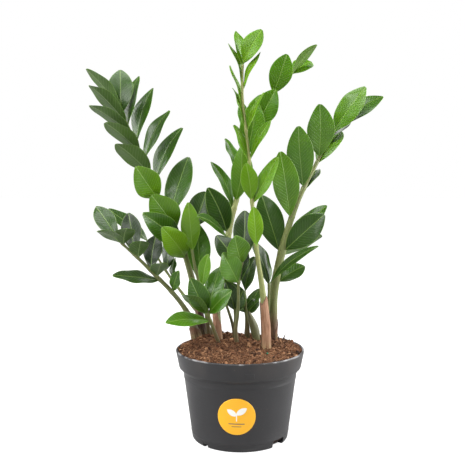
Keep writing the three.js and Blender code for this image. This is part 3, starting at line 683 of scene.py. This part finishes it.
def finishes():
    """Every material of the plant, made once and kept by name."""
    if not FINISHES:
        scene = bpy.context.scene
        leaf, stem, pot = scene.zz_leaf, scene.zz_stem, scene.zz_pot
        coir = tuple(scene.zz_soil.coir_colour)
        FINISHES.update(
            old=leaf_finish("mature leaf", leaf, False), young=leaf_finish("young leaf", leaf, True),
            stem=stem_finish(stem), sheath=sheath_finish(stem),
            pot=pot_finish(pot), label=label_finish(pot),
            crust=coir_finish("coir bed", coir), crumbs=coir_finish("coir crumbs", coir),
            stump=husk_finish("dry stump", (0.035, 0.024, 0.022), (0.12, 0.085, 0.07)),
            tuber=husk_finish("tuber skin", (0.16, 0.09, 0.045), (0.36, 0.24, 0.13), 120.0),
            pellet=husk_finish("pellet coat", (0.01, 0.22, 0.12), (0.03, 0.42, 0.25), 700.0))
    return FINISHES


# ---- settings ------------------------------------------------------------------------------
def colour_field(name, description, default):
    return FloatVectorProperty(name=name, description=description, default=default,
                               subtype="COLOR", size=3)


def length_field(name, description, default, low, high):
    return FloatProperty(name=name, description=description, default=default, min=low, max=high,
                         unit="LENGTH")


def number_field(name, description, default, low, high):
    return FloatProperty(name=name, description=description, default=default, min=low, max=high)


def count_field(name, description, default, low, high):
    return IntProperty(name=name, description=description, default=default, min=low, max=high)


class ZZLeafSettings(bpy.types.PropertyGroup):
    thickness: length_field("Thickness", "Blade thickness in the middle", 0.0009, 0.0003, 0.003)
    fold: number_field("Fold", "Slope of the halves about the midrib", 0.2, 0, 0.6)
    wave: length_field("Wave", "Height of the gentle waves along the edge", 0.0007, 0, 0.004)
    vein_depth: length_field("Vein depth", "Depth of veins and midrib groove", 0.0004, 0, 0.002)
    leaf_roughness: number_field("Upper roughness", "Roughness of the waxy face", 0.33, 0.05, 1)
    leaf_dark: colour_field("Dark", "Old blades in the shade", (0.027, 0.075, 0.004))
    leaf_mid: colour_field("Middle", "Blades a season old", (0.058, 0.165, 0.003))
    leaf_young: colour_field("Young", "This season's blades", (0.150, 0.31, 0.006))
    leaf_under: colour_field("Underside", "The paler lower face", (0.070, 0.125, 0.034))


class ZZStemSettings(bpy.types.PropertyGroup):
    sides: count_field("Sides", "Faces round a stem", 24, 8, 64)
    stem_old: colour_field("Old stem", "Shaded, older skin", (0.085, 0.078, 0.042))
    stem_mid: colour_field("Olive stem", "Skin of a grown stem", (0.17, 0.20, 0.060))
    stem_young: colour_field("Young stem", "Pale skin of this season", (0.42, 0.44, 0.15))
    sheath_pale: colour_field("Pale sheath", "Fresh, pink-tan sheath", (0.44, 0.25, 0.15))


class ZZPotSettings(bpy.types.PropertyGroup):
    segments: count_field("Segments", "Faces round the pot", 192, 48, 512)
    pot_colour: colour_field("Plastic", "Colour of the pot", (0.017, 0.0165, 0.0178))
    label_colour: colour_field("Label", "Colour of the round label", (0.93, 0.46, 0.008))


class ZZSoilSettings(bpy.types.PropertyGroup):
    crumbs: count_field("Crumbs", "Loose bits of coir", 3800, 0, 8000)
    fibres: count_field("Fibres", "Loose coir threads", 2600, 0, 6000)
    relief: length_field("Relief", "Height of the lumps", 0.0022, 0, 0.006)
    coir_colour: colour_field("Coir", "Main brown", (0.21, 0.095, 0.046))


class ZZStageSettings(bpy.types.PropertyGroup):
    distance: length_field("Distance", "Camera in front of the pot's axis", 0.8, 0.1, 10)
    height: length_field("Height", "Camera above the floor", 0.3, -1, 5)
    tilt: FloatProperty(name="Tilt", description="How far the camera looks down",
                        default=np.radians(4.0), subtype="ANGLE")
    lens: number_field("Lens", "Focal length on a 36 mm sensor, in millimetres", 52.64, 10, 300)
    light: number_field("Light", "Strength of the soft boxes", 1.0, 0, 10)


# ---- operators -----------------------------------------------------------------------------
class ZZ_OT_pot(bpy.types.Operator):
    """Builds the moulded nursery pot with its band, lip, foot, rings and drain notches"""

    bl_idname = "zz.pot"
    bl_label = "Nursery pot"

    def profile(self):
        """The cut through the wall, outside from the axis up, over the lip and down the inside."""
        corner = np.linspace(-np.pi / 2, 0, 7)
        foot = [(BASE_RADIUS + FOOT_TOP * (np.cos(a) - 1), FOOT_TOP * (1 + np.sin(a))) for a in corner]
        # Height and bulge: two thin raised rings on a straight wall.
        body = [(wall_radius(z) + bulge, z) for z, bulge in (
            (8.4, 0), (9.0, 0.25), (9.8, 0.25), (10.4, 0), (30, 0), (52, 0), (72.6, 0), (73.3, 0.28),
            (74.2, 0.28), (74.9, 0), (SHOULDER_BOTTOM - 0.6, 0))]
        shoulder = [(BODY_RADIUS + 0.5, SHOULDER_BOTTOM), (BODY_RADIUS + 1.6, SHOULDER_BOTTOM + 0.9),
                    (BAND_RADIUS - 1.1, BAND_BOTTOM - 1.2), (BAND_RADIUS - 0.25, BAND_BOTTOM - 0.3),
                    (BAND_RADIUS + 0.05, BAND_BOTTOM + 0.7)]
        top = np.linspace(0, np.pi, 9)
        curl = LIP / 2
        lip = [(RIM_RADIUS - curl + curl * np.cos(a), POT_HEIGHT - curl + curl * np.sin(a)) for a in top]
        inside = [(RIM_RADIUS - LIP, POT_HEIGHT - LIP), (BAND_RADIUS - WALL, BAND_BOTTOM + 1),
                  (BODY_RADIUS - WALL, SHOULDER_BOTTOM + 1), (wall_radius(7) - WALL, 7),
                  (wall_radius(4) - WALL - 2.6, FLOOR_TOP), (1.0, FLOOR_TOP)]
        # A shallow ring-shaped hollow under the floor.
        under = [(1.0, 0), (21.4, 0), (22, 0.3), (24, 1.8), (45.4, 1.8), (47, 0.3), (47.6, 0)]
        return np.array([*under, *foot, *body, *shoulder,
                         (RIM_RADIUS - 0.35, POT_HEIGHT - LIP - 0.6), *lip, *inside])

    def execute(self, context):
        outline = self.profile()
        angle = angles(context.scene.zz_pot.segments)
        wobble = 1 + 0.0012 * np.sin(2 * angle + 0.6)[None, :] * (outline[:, 1:] / POT_HEIGHT)
        rings = np.stack([outline[:, :1] * wobble * np.cos(angle),
                          outline[:, :1] * wobble * np.sin(angle),
                          np.repeat(outline[:, 1:], len(angle), axis=1)], axis=-1)
        pot = make_piece("pot", closed_tube(rings), "pot", ["nursery_pot"])
        for turn, half_wide, high in NOTCHES:
            self.cut_notch(pot, np.radians(turn), half_wide, high)
        return {"FINISHED"}

    def cut_notch(self, pot, turn, half_wide, high):
        """Takes a round-cornered block out of the pot's lower corner."""
        corner = high / 4
        arc = np.linspace(0, np.pi / 2, 6)
        outline = [(half_wide, -5), *[(half_wide - corner + corner * np.cos(a),
                                       high - corner + corner * np.sin(a)) for a in arc]]
        outline += [(-x, z) for x, z in reversed(outline)]
        flat = np.array(outline)
        rings = []
        for radius in (BASE_RADIUS - 8, BASE_RADIUS + 10):  # well inside the wall, and well outside
            x = radius * np.cos(turn) - flat[:, 0] * np.sin(turn)
            y = radius * np.sin(turn) + flat[:, 0] * np.cos(turn)
            rings.append(np.stack([x, y, flat[:, 1]], axis=1))
        points, faces = closed_tube(np.array(rings))
        mesh = bpy.data.meshes.new("notch")
        mesh.from_pydata((points * MM).tolist(), [], faces)
        cutter = add_object("notch", mesh)
        cut = pot.modifiers.new("notch", "BOOLEAN")
        cut.operation = "DIFFERENCE"
        cut.object = cutter
        cut.solver = "EXACT"
        bpy.context.view_layer.update()
        done = bpy.data.meshes.new_from_object(pot.evaluated_get(
            bpy.context.evaluated_depsgraph_get()))
        pot.modifiers.clear()
        pot.data = done
        bpy.data.objects.remove(cutter)


class ZZ_OT_label(bpy.types.Operator):
    """Builds the round label, bent to the pot's wall, with its edge closed"""

    bl_idname = "zz.label"
    bl_label = "Round label"

    def execute(self, context):
        rings, size, radius = 34, 96, LABEL_RADIUS
        share = np.concatenate([np.linspace(0.02, 1, rings), np.linspace(1, 0.02, rings)])
        lift = np.repeat([LABEL_FRONT, LABEL_BACK], rings)
        lift[rings - 1] = 0.5  # the edge of the face is rounded off a little
        angle = angles(size)
        x = radius * share[:, None] * np.cos(angle)
        z = radius * share[:, None] * np.sin(angle)
        height = LABEL_HEIGHT + z
        wall = wall_radius(height) + lift[:, None]
        turn = (x + LABEL_ASIDE) / wall
        points = np.stack([wall * np.sin(turn), -wall * np.cos(turn), height], axis=-1)
        points, faces = closed_tube(points)
        faces = [face[::-1] for face in faces]
        marks = {"label_x": with_ends(x), "label_y": with_ends(z)}
        label = make_piece("label", (points, faces), "label", ["round_label"], marks)
        outward = np.array(label.data.polygons[0].normal) @ FRONT
        if outward < 0:
            label.data.flip_normals()
        return {"FINISHED"}


class ZZ_OT_soil(bpy.types.Operator):
    """Lays the lumpy coir bed, its crumbs and its loose fibres"""

    bl_idname = "zz.soil"
    bl_label = "Coir soil"

    def height(self, x, y):
        """The heap plus three sizes of random lumps, fading towards the lip."""
        relief = bpy.context.scene.zz_soil.relief / MM
        lumps = (0.5 * value_noise(x, y, 9.0, 3) + 0.6 * value_noise(x, y, 3.6, 4)
                 + 0.35 * value_noise(x, y, 1.5, 5))
        calm = np.clip((SOIL_EDGE - np.hypot(x, y)) / 5, 0.25, 1)
        return SOIL_LEVEL + heap(x, y) + relief * (0.55 + 0.5 * lumps) * calm

    def bed(self):
        """A disc of rings: radius on one axis, angle on the other, height from the lumps. Its
        underside is the smooth heap, lower by the bed's depth."""
        radius = np.linspace(0.4, SOIL_EDGE - 0.1, 90)[:, None]
        angle = angles(300)[None, :]
        x, y = radius * np.cos(angle), radius * np.sin(angle)
        top = np.stack([x, y, self.height(x, y)], axis=-1)
        low = np.stack([x, y, SOIL_LEVEL + heap(x, y) - BED_DEPTH], axis=-1)
        points, faces = closed_tube(np.concatenate([low, top[::-1]]))
        # Painted shade: the bed is darker than the crumbs lying on it, darker still in its hollows and
        # lighter on its lumps.
        shade = 0.24 + 0.22 * value_noise(points[:, 0], points[:, 1], 2.2, 6)
        depth = points[:, 2] - SOIL_LEVEL - heap(points[:, 0], points[:, 1])
        shade += 0.10 * (depth - 1.2)
        make_piece("coir_bed", (points, faces), "crust", marks={"shade": shade})

    def scatter(self, rng, count, edge):
        """Even random places on the soil's disc, with their height."""
        radius = edge * np.sqrt(rng.random(count))
        angle = 2 * np.pi * rng.random(count)
        x, y = radius * np.cos(angle), radius * np.sin(angle)
        return x, y, self.height(x, y)

    def crumbs(self, count):
        """Chips: a ball of four rings whose corners are pushed in and out at random."""
        rng = np.random.default_rng(11)
        lat = np.array([0.45, 1.15, 1.95, 2.65])
        lon = angles(6)
        rings = np.stack([np.sin(lat)[:, None] * np.cos(lon), np.sin(lat)[:, None] * np.sin(lon),
                          np.repeat(np.cos(lat)[:, None], len(lon), axis=1)], axis=-1)[::-1]
        shape = rings.reshape(-1, 3) * rng.uniform(0.75, 1.2, (len(lat) * len(lon), 1))
        faces = ring_faces(len(lat), len(lon))
        caps = np.array([[3, 2, 1, 0], [5, 4, 3, 0], [18, 19, 20, 21], [18, 21, 22, 23]])
        x, y, z = self.scatter(rng, count, SOIL_EDGE - 0.8)
        long = rng.gamma(3.2, 0.38, count) + 0.4
        sizes = np.stack([long, long * rng.uniform(0.35, 0.9, count),
                          long * rng.uniform(0.25, 0.6, count)], axis=1)
        places = np.stack([x, y, z + sizes[:, 2] * rng.uniform(-0.2, 0.9, count)], axis=1)
        points, faces = many(shape, np.vstack([faces, caps]), places,
                             random_turns(rng, count, 0.45), sizes)
        shade = np.repeat(np.clip(rng.normal(0.52, 0.27, count), 0, 1), len(shape))
        make_piece("coir_crumbs", (points, faces.tolist()), "crumbs",
                   marks={"shade": shade}, smooth=False)

    def fibres(self, count):
        """Threads: a bow of six rings of three points, its bend and rise parabolas of its length."""
        rng = np.random.default_rng(12)
        run = np.linspace(-1, 1, 6)
        ring = np.array([[0, np.cos(a), np.sin(a)] for a in angles(3)])
        girth = 0.085 * (1.15 - 0.5 * np.abs(run))
        x, y, z = self.scatter(rng, count, SOIL_EDGE - 1.5)
        half = rng.gamma(4.0, 0.75, count) + 1.0
        bend = rng.normal(0, 0.35, count)
        rise = rng.normal(0.15, 0.25, count)
        heading = rng.uniform(0, 2 * np.pi, count)
        along = run[None, :] * half[:, None]
        side = bend[:, None] * half[:, None] * (1 - run**2)
        lift = rise[:, None] * half[:, None] * (1 - run**2) + rng.normal(0, 0.12, (count, 1)) * along
        thick = girth[None, :] * rng.uniform(0.8, 2.2, (count, 1))
        line = np.stack([along, side, lift], axis=-1)
        body = line[:, :, None, :] + ring[None, None] * thick[:, :, None, None]
        turned = body.copy()
        c, s = np.cos(heading)[:, None, None], np.sin(heading)[:, None, None]
        turned[..., 0] = body[..., 0] * c - body[..., 1] * s + x[:, None, None]
        turned[..., 1] = body[..., 0] * s + body[..., 1] * c + y[:, None, None]
        turned[..., 2] += (z + 0.5)[:, None, None]
        reach = np.hypot(turned[..., 0], turned[..., 1])
        pull = np.minimum(1, (SOIL_EDGE - 0.4) / np.maximum(reach, 1e-6))
        turned[..., :2] *= pull[..., None]
        faces = np.vstack([ring_faces(len(run), len(ring)), [[2, 1, 0, 0], [15, 16, 17, 17]]])
        corners = len(run) * len(ring)
        shifts = (np.arange(count) * corners)[:, None, None]
        all_faces = [list(dict.fromkeys(face)) for face in
                     (faces[None] + shifts).reshape(-1, 4).tolist()]
        shade = np.repeat(np.clip(rng.normal(0.78, 0.2, count), 0, 1), corners)
        make_piece("coir_fibres", (turned.reshape(-1, 3), all_faces), "crumbs",
                   marks={"shade": shade})

    def execute(self, context):
        settings = context.scene.zz_soil
        self.bed()
        self.crumbs(settings.crumbs)
        self.fibres(settings.fibres)
        repaint("coir_soil", "crust")
        return {"FINISHED"}


def stem_rings(frond, sides, swell):
    """A tapering stem: rings along its line, a little fatter where each leaflet grows, with
    its foot carried down into the soil and a rounded tip."""
    points, tangents, length = curve(frond["path"])
    share = np.linspace(0, 1, len(points))
    radii = at(frond["radii"], share)
    for leaf in frond.get("leaves", ()):
        radii = radii + swell * np.exp(-(((share - leaf[1]) * length / SWELL_REACH) ** 2))
    keep = slice(None, None, 4)
    points, tangents, radii, share = points[keep], tangents[keep], radii[keep], share[keep]
    lead = np.linspace(STEM_SINK, 1.0, 4)
    down = points[0] - lead[:, None] * UP
    tip = np.array([0.35, 0.75, 0.97])
    last = radii[-1]
    top = points[-1] + tangents[-1] * (last * tip)[:, None]
    points = np.vstack([down, points, top])
    tangents = np.vstack([np.tile(tangents[0], (len(lead), 1)), tangents,
                          np.tile(tangents[-1], (len(tip), 1))])
    radii = np.concatenate([np.full(len(lead), radii[0]), radii, last * np.sqrt(1 - tip**2)])
    along = np.concatenate([-lead, share * length, length + last * tip])
    rings = around(points[:, None], tangents[:, None], angles(sides), radii[:, None])
    return rings, radii, along


class ZZ_OT_stems(bpy.types.Operator):
    """Grows the stem of every frond"""

    bl_idname = "zz.stems"
    bl_label = "Stems"

    def grow(self, piece, node, frond, name, swell):
        """One stem, marked with how brown and how light it is along its length."""
        sides = bpy.context.scene.zz_stem.sides
        brown, reach, low, high = STEM_LOOKS.get(name, PLAIN_STEM)
        rings, radii, along = stem_rings(frond, sides, swell)
        along = with_ends(np.repeat(along, sides), (along[0], along[-1]))
        foot = brown * (1 - smooth_step(reach * 0.5, reach * 1.3 + 1, along))
        rise = low + (high - low) * smooth_step(0.1, 0.6, along / along[-1])
        round_mm = with_ends(radii[:, None] * np.abs(angles(sides) - np.pi))
        marks = {"along": along, "round": round_mm, "brown": foot, "tone": rise}
        make_piece(piece, closed_tube(rings), "stem", [node], marks)

    def execute(self, context):
        for name, frond in FRONDS.items():
            tall = "stem_" + name
            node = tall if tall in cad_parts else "frond_" + name
            self.grow(tall, node, frond, name, STEM_SWELL)
        self.grow("young_shoot_bud", "young_shoot", SHOOT, "young_shoot", 0)
        return {"FINISHED"}


class ZZ_OT_sheaths(bpy.types.Operator):
    """Wraps dry sheath leaves round the feet of the thick stems"""

    bl_idname = "zz.sheaths"
    bl_label = "Dry sheaths"

    def there_and_back(self, outer, inner):
        """Rings that run along the outer sheet and back along the inner one."""
        return np.concatenate([outer, inner[:, ::-1]], axis=1)

    def execute(self, context):
        """Angle on one axis, height on the other. The top edge is a slant that peaks opposite the
        opening, with a ragged random edge. The inside is the same surface a little closer in."""
        rows, cols = 40, 48
        for k, (name, top_share, opening, cover, slant, tone) in enumerate(SHEATHS):
            frond = FRONDS[name]
            rng = np.random.default_rng(30 + k)
            points, tangents, length = curve(frond["path"])
            start = np.radians(opening) + np.pi * (1 - cover)
            angle = start + np.linspace(0, 2 * np.pi * cover, cols)
            peak = 0.5 - 0.5 * np.cos(np.linspace(0, 2 * np.pi, cols))
            ragged = value_noise(np.linspace(0, 9, cols), np.full(cols, 3.3), 1.0, 50 + k)
            top = top_share * (1 - slant + slant * peak + 0.05 * ragged)
            rise = np.linspace(0, 1, rows)[:, None]
            share = rise * top[None, :]
            centre, heading = at(points, share), unit(at(tangents, share))
            radius = at(frond["radii"], share) + SHEATH_GAP + SHEATH_FLARE * rise**3
            radius = radius + 0.25 * rng.normal() * rise * np.sin(2 * angle)[None, :]
            lip = np.minimum(1, np.minimum(np.arange(cols), np.arange(cols)[::-1]) / 3.0)
            shells = []
            for gap in (SHEATH_THICK, 0.0):
                reach = radius + gap * lip[None, :] * np.clip((1 - rise) * rows / 2, 0.15, 1)
                shell = around(centre, heading, angle, reach)
                shell[0, :, 2] -= SHEATH_SINK
                shells.append(shell)
            body = closed_tube(self.there_and_back(*shells))
            to_end = np.minimum(angle - angle[0], angle[-1] - angle)[None, :] * ABOUT_RADIUS
            edge = np.minimum((1 - rise) * top[None, :] * length, to_end)
            sheets = {"along": share * length, "edge": edge,
                      "round": np.tile(angle, (rows, 1)) * ABOUT_RADIUS}
            marks = {mark: with_ends(self.there_and_back(sheet, sheet))
                     for mark, sheet in sheets.items()}
            marks["tone"] = np.full(len(body[0]), tone)
            make_piece("sheath_" + name, body, "sheath", marks=marks)
        return {"FINISHED"}


def blade(frond, leaf, settings, rng):
    """One leaflet as a closed lens: length on one axis, the way round its section on the other.

    The middle line is a shallow arch that dips at the tip. Half the width is a sine of the share
    of the length, and the two halves slope up from the midrib and wave at the edge. Returns its
    points and faces, and its marks.
    """
    _, share, tip, width, turn, tone = leaf
    points, tangents, _ = curve(frond["path"])
    tangent = unit(at(tangents, share))
    reach = np.array(tip, float)
    length = np.linalg.norm(reach)
    along = reach / length
    facing = unit(FRONT - along * (FRONT @ along))
    angle = np.radians(turn)
    upper = facing * np.cos(angle) + np.cross(along, facing) * np.sin(angle)
    across = np.cross(along, upper)
    sideways = unit(reach - tangent * (reach @ tangent))
    root = at(points, share) + sideways * (at(frond["radii"], share) - STALK_SINK)

    rows, half_cols = 34, 9
    s = (0.5 - 0.5 * np.cos(np.linspace(0, np.pi, rows))) * TIP_SHARE
    belly = 1.1 + rng.normal(0, 0.05)
    outline = 0.5 * np.sin(np.pi * s**belly) ** 0.74
    half = np.maximum(width * outline, STALK_HALF * (1 - s))
    half[-1] = TIP_HALF
    t = np.sin(np.linspace(-np.pi / 2, np.pi / 2, 2 * half_cols + 1))
    x = half[:, None] * t[None, :]
    wave = settings.wave / MM * rng.uniform(0.5, 1.5)
    phase, beats = rng.uniform(0, 2 * np.pi, 2), rng.uniform(1.2, 2.4)
    ripple = np.sin(2 * np.pi * beats * s[:, None] + phase[(t[None, :] > 0).astype(int)])
    fold = settings.fold * rng.uniform(0.7, 1.2)
    lift = fold * (np.sqrt(x**2 + 1.2) - np.sqrt(1.2)) + wave * ripple * t[None, :] ** 2
    lift = lift - 0.05 * width * (t[None, :] ** 4) * outline[:, None]
    arch = 0.06 + rng.normal(0, 0.012)
    rise = arch * length * 4 * s * (1 - s)
    sway = 0.02 * length * rng.normal() * np.sin(np.pi * s)
    plump = settings.thickness / MM / 2 * (0.35 + 0.65 * (1 - t[None, :] ** 2))
    stalk = STALK_HALF * (1 - smooth_step(0.0, 0.09, s))[:, None]
    plump = np.maximum(plump, stalk) * np.sqrt(np.clip(1 - t[None, :] ** 6, 0, 1))
    plump = plump * (1 - 0.55 * s[:, None])
    middle = (root + along * (length * s)[:, None] + upper * rise[:, None]
              + across * sway[:, None])[:, None, :] + across * x[..., None] + upper * lift[..., None]
    top = middle + upper * plump[..., None]
    low = middle - upper * plump[..., None]
    body = closed_tube(np.concatenate([top, low[:, -2:0:-1]], axis=1))

    def both(upper_values, lower_values):
        whole = np.concatenate([upper_values, lower_values[:, -2:0:-1]], axis=1)
        return with_ends(whole, (whole[0].mean(), whole[-1].mean()))

    full = np.ones_like(x)
    edge = half[:, None] - np.abs(x)
    veins = (s * length)[:, None] - VEIN_SLANT * np.abs(x)
    side = full * np.clip((1 - np.abs(t[None, :])) * 40, 0, 1)
    marks = {"across": both(x, x), "edge": both(edge, edge), "vein": both(veins, veins),
             "side": both(side, -side), "tone": both(full * tone, full * tone)}
    return body, marks


class ZZ_OT_leaflets(bpy.types.Operator):
    """Grows every leaflet on its stem"""

    bl_idname = "zz.leaflets"
    bl_label = "Leaflets"

    def execute(self, context):
        settings = context.scene.zz_leaf
        for f, (name, frond) in enumerate(FRONDS.items()):
            look, slot = ("young", "leaf_young") if name in YOUNG else ("old", "leaf_old")
            for k, leaf in enumerate(frond["leaves"]):
                rng = np.random.default_rng(1000 * f + k)
                body, marks = blade(frond, leaf, settings, rng)
                node = "leaflet_" + name + "_" + leaf[0]
                nodes = [node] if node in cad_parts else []
                make_piece("blade_" + name + "_" + leaf[0], body, look, nodes, marks)
        return {"FINISHED"}


class ZZ_OT_small_things(bpy.types.Operator):
    """Finishes the stump, the pellet and the tuber"""

    bl_idname = "zz.small_things"
    bl_label = "Stump, pellet and tuber"

    def execute(self, context):
        for node, look in (("dried_spike", "stump"), ("fertiliser_pellet", "pellet"),
                           ("tuber", "tuber")):
            repaint(node, look)
        return {"FINISHED"}


# The lamps: name, place, height of the point on the axis that each faces, width, height, power.
SOFT_BOXES = (
    ("top box", (-0.3, -0.5, 1.6), 0.2, 1.2, 1.0, 22),
    ("front box", (-0.75, -1.6, 1.05), 0.3, 1.1, 0.7, 20),
    ("left box", (-1.3, -0.1, 0.8), 0.25, 0.8, 1.3, 24),
    ("right box", (1.3, 0.0, 0.65), 0.2, 0.9, 1.4, 38),
    ("back box", (0.3, 1.3, 1.1), 0.3, 1.2, 0.8, 10),
)


class ZZ_OT_stage(bpy.types.Operator):
    """Sets the pale floor, the sky, the soft boxes and the camera"""

    bl_idname = "zz.stage"
    bl_label = "Stage"

    def floor(self):
        """A wide flat sheet of paper, a little brighter far away, that glows to the camera and
        lights the plant only a little."""
        side, near, far = 9, -4, 14
        mesh = bpy.data.meshes.new("floor")
        corners = [(-side, near, 0), (side, near, 0), (side, far, 0), (-side, far, 0)]
        mesh.from_pydata(corners, [], [(0, 1, 2, 3)])
        finish = Finish("studio paper", 0.9, Specular_IOR_Level=0.1)
        finish.surface.inputs["Emission Color"].default_value = (1, 1, 1, 1)
        shade = finish.blend(finish.noise(3, 2), (0.33, 0.33, 0.33), (0.36, 0.36, 0.36))
        away = finish.node("VectorMath", {0: finish.place()}, operation="LENGTH").outputs["Value"]
        glow = finish.plus(0.86, finish.times(finish.step(away, 0.4, 1.8), 0.13))
        seen = finish.node("LightPath").outputs["Is Camera Ray"]
        glow = finish.times(glow, finish.spread(seen, 0.15, 1.0))
        mesh.materials.append(finish.set(Base_Color=shade, Emission_Strength=glow))
        add_object("floor", mesh)

    def sky(self):
        """White behind the plant, and a dimmer white for the light it gives."""
        world = bpy.data.worlds.new("studio")
        world.use_nodes = True
        tree = world.node_tree
        seen = tree.nodes.new("ShaderNodeLightPath").outputs["Is Camera Ray"]
        strength = tree.nodes.new("ShaderNodeMapRange")
        strength.inputs["To Min"].default_value = 0.1
        tree.links.new(seen, strength.inputs["Value"])
        tree.nodes["Background"].inputs["Color"].default_value = (1, 1, 1, 1)
        tree.links.new(strength.outputs[0], tree.nodes["Background"].inputs["Strength"])
        bpy.context.scene.world = world

    def soft_box(self, name, place, aim_height, width, height, power):
        """A lamp of that width and height in metres, turned to a point on the pot's axis."""
        lamp = bpy.data.lights.new(name, "AREA")
        lamp.shape = "RECTANGLE"
        lamp.size, lamp.size_y = width, height
        lamp.energy = power * bpy.context.scene.zz_stage.light
        made = add_object(name, lamp)
        made.location = place
        aim = Vector((0, 0, aim_height)) - made.location
        made.rotation_euler = aim.to_track_quat("-Z", "Y").to_euler()

    def execute(self, context):
        scene, stage = context.scene, context.scene.zz_stage
        self.floor()
        self.sky()
        for box in SOFT_BOXES:
            self.soft_box(*box)
        scene.view_settings.view_transform = "Standard"
        lens = bpy.data.cameras.new("camera")
        lens.lens, lens.sensor_width = stage.lens, 36
        camera = add_object("camera", lens)
        camera.location = (-0.009, -stage.distance, stage.height)
        camera.rotation_euler = (np.pi / 2 - stage.tilt, 0, 0)
        scene.camera = camera
        return {"FINISHED"}


class ZZ_PT_panel(bpy.types.Panel):
    """Lists the plant's builders"""

    bl_idname = "ZZ_PT_panel"
    bl_label = "Potted ZZ plant"
    bl_space_type = "VIEW_3D"
    bl_region_type = "UI"
    bl_category = "ZZ Plant"

    def draw(self, context):
        for step in STEPS:
            self.layout.operator(step.bl_idname)
        for group in SETTINGS:
            box = self.layout.box()
            for field in SETTINGS[group].__annotations__:
                box.prop(getattr(context.scene, group), field)


STEPS = (ZZ_OT_pot, ZZ_OT_label, ZZ_OT_soil, ZZ_OT_stems, ZZ_OT_sheaths, ZZ_OT_leaflets,
         ZZ_OT_small_things, ZZ_OT_stage)
SETTINGS = {"zz_leaf": ZZLeafSettings, "zz_stem": ZZStemSettings, "zz_pot": ZZPotSettings,
            "zz_soil": ZZSoilSettings, "zz_stage": ZZStageSettings}


def register():
    for group, kind in SETTINGS.items():
        bpy.utils.register_class(kind)
        setattr(bpy.types.Scene, group, PointerProperty(type=kind))
    for kind in (*STEPS, ZZ_PT_panel):
        bpy.utils.register_class(kind)


def unregister():
    for kind in reversed((*STEPS, ZZ_PT_panel)):
        bpy.utils.unregister_class(kind)
    for group, kind in SETTINGS.items():
        delattr(bpy.types.Scene, group)
        bpy.utils.unregister_class(kind)


def main():
    register()
    for step in STEPS:
        family, call = step.bl_idname.split(".")
        getattr(getattr(bpy.ops, family), call)()


if __name__ == "__main__":
    main()
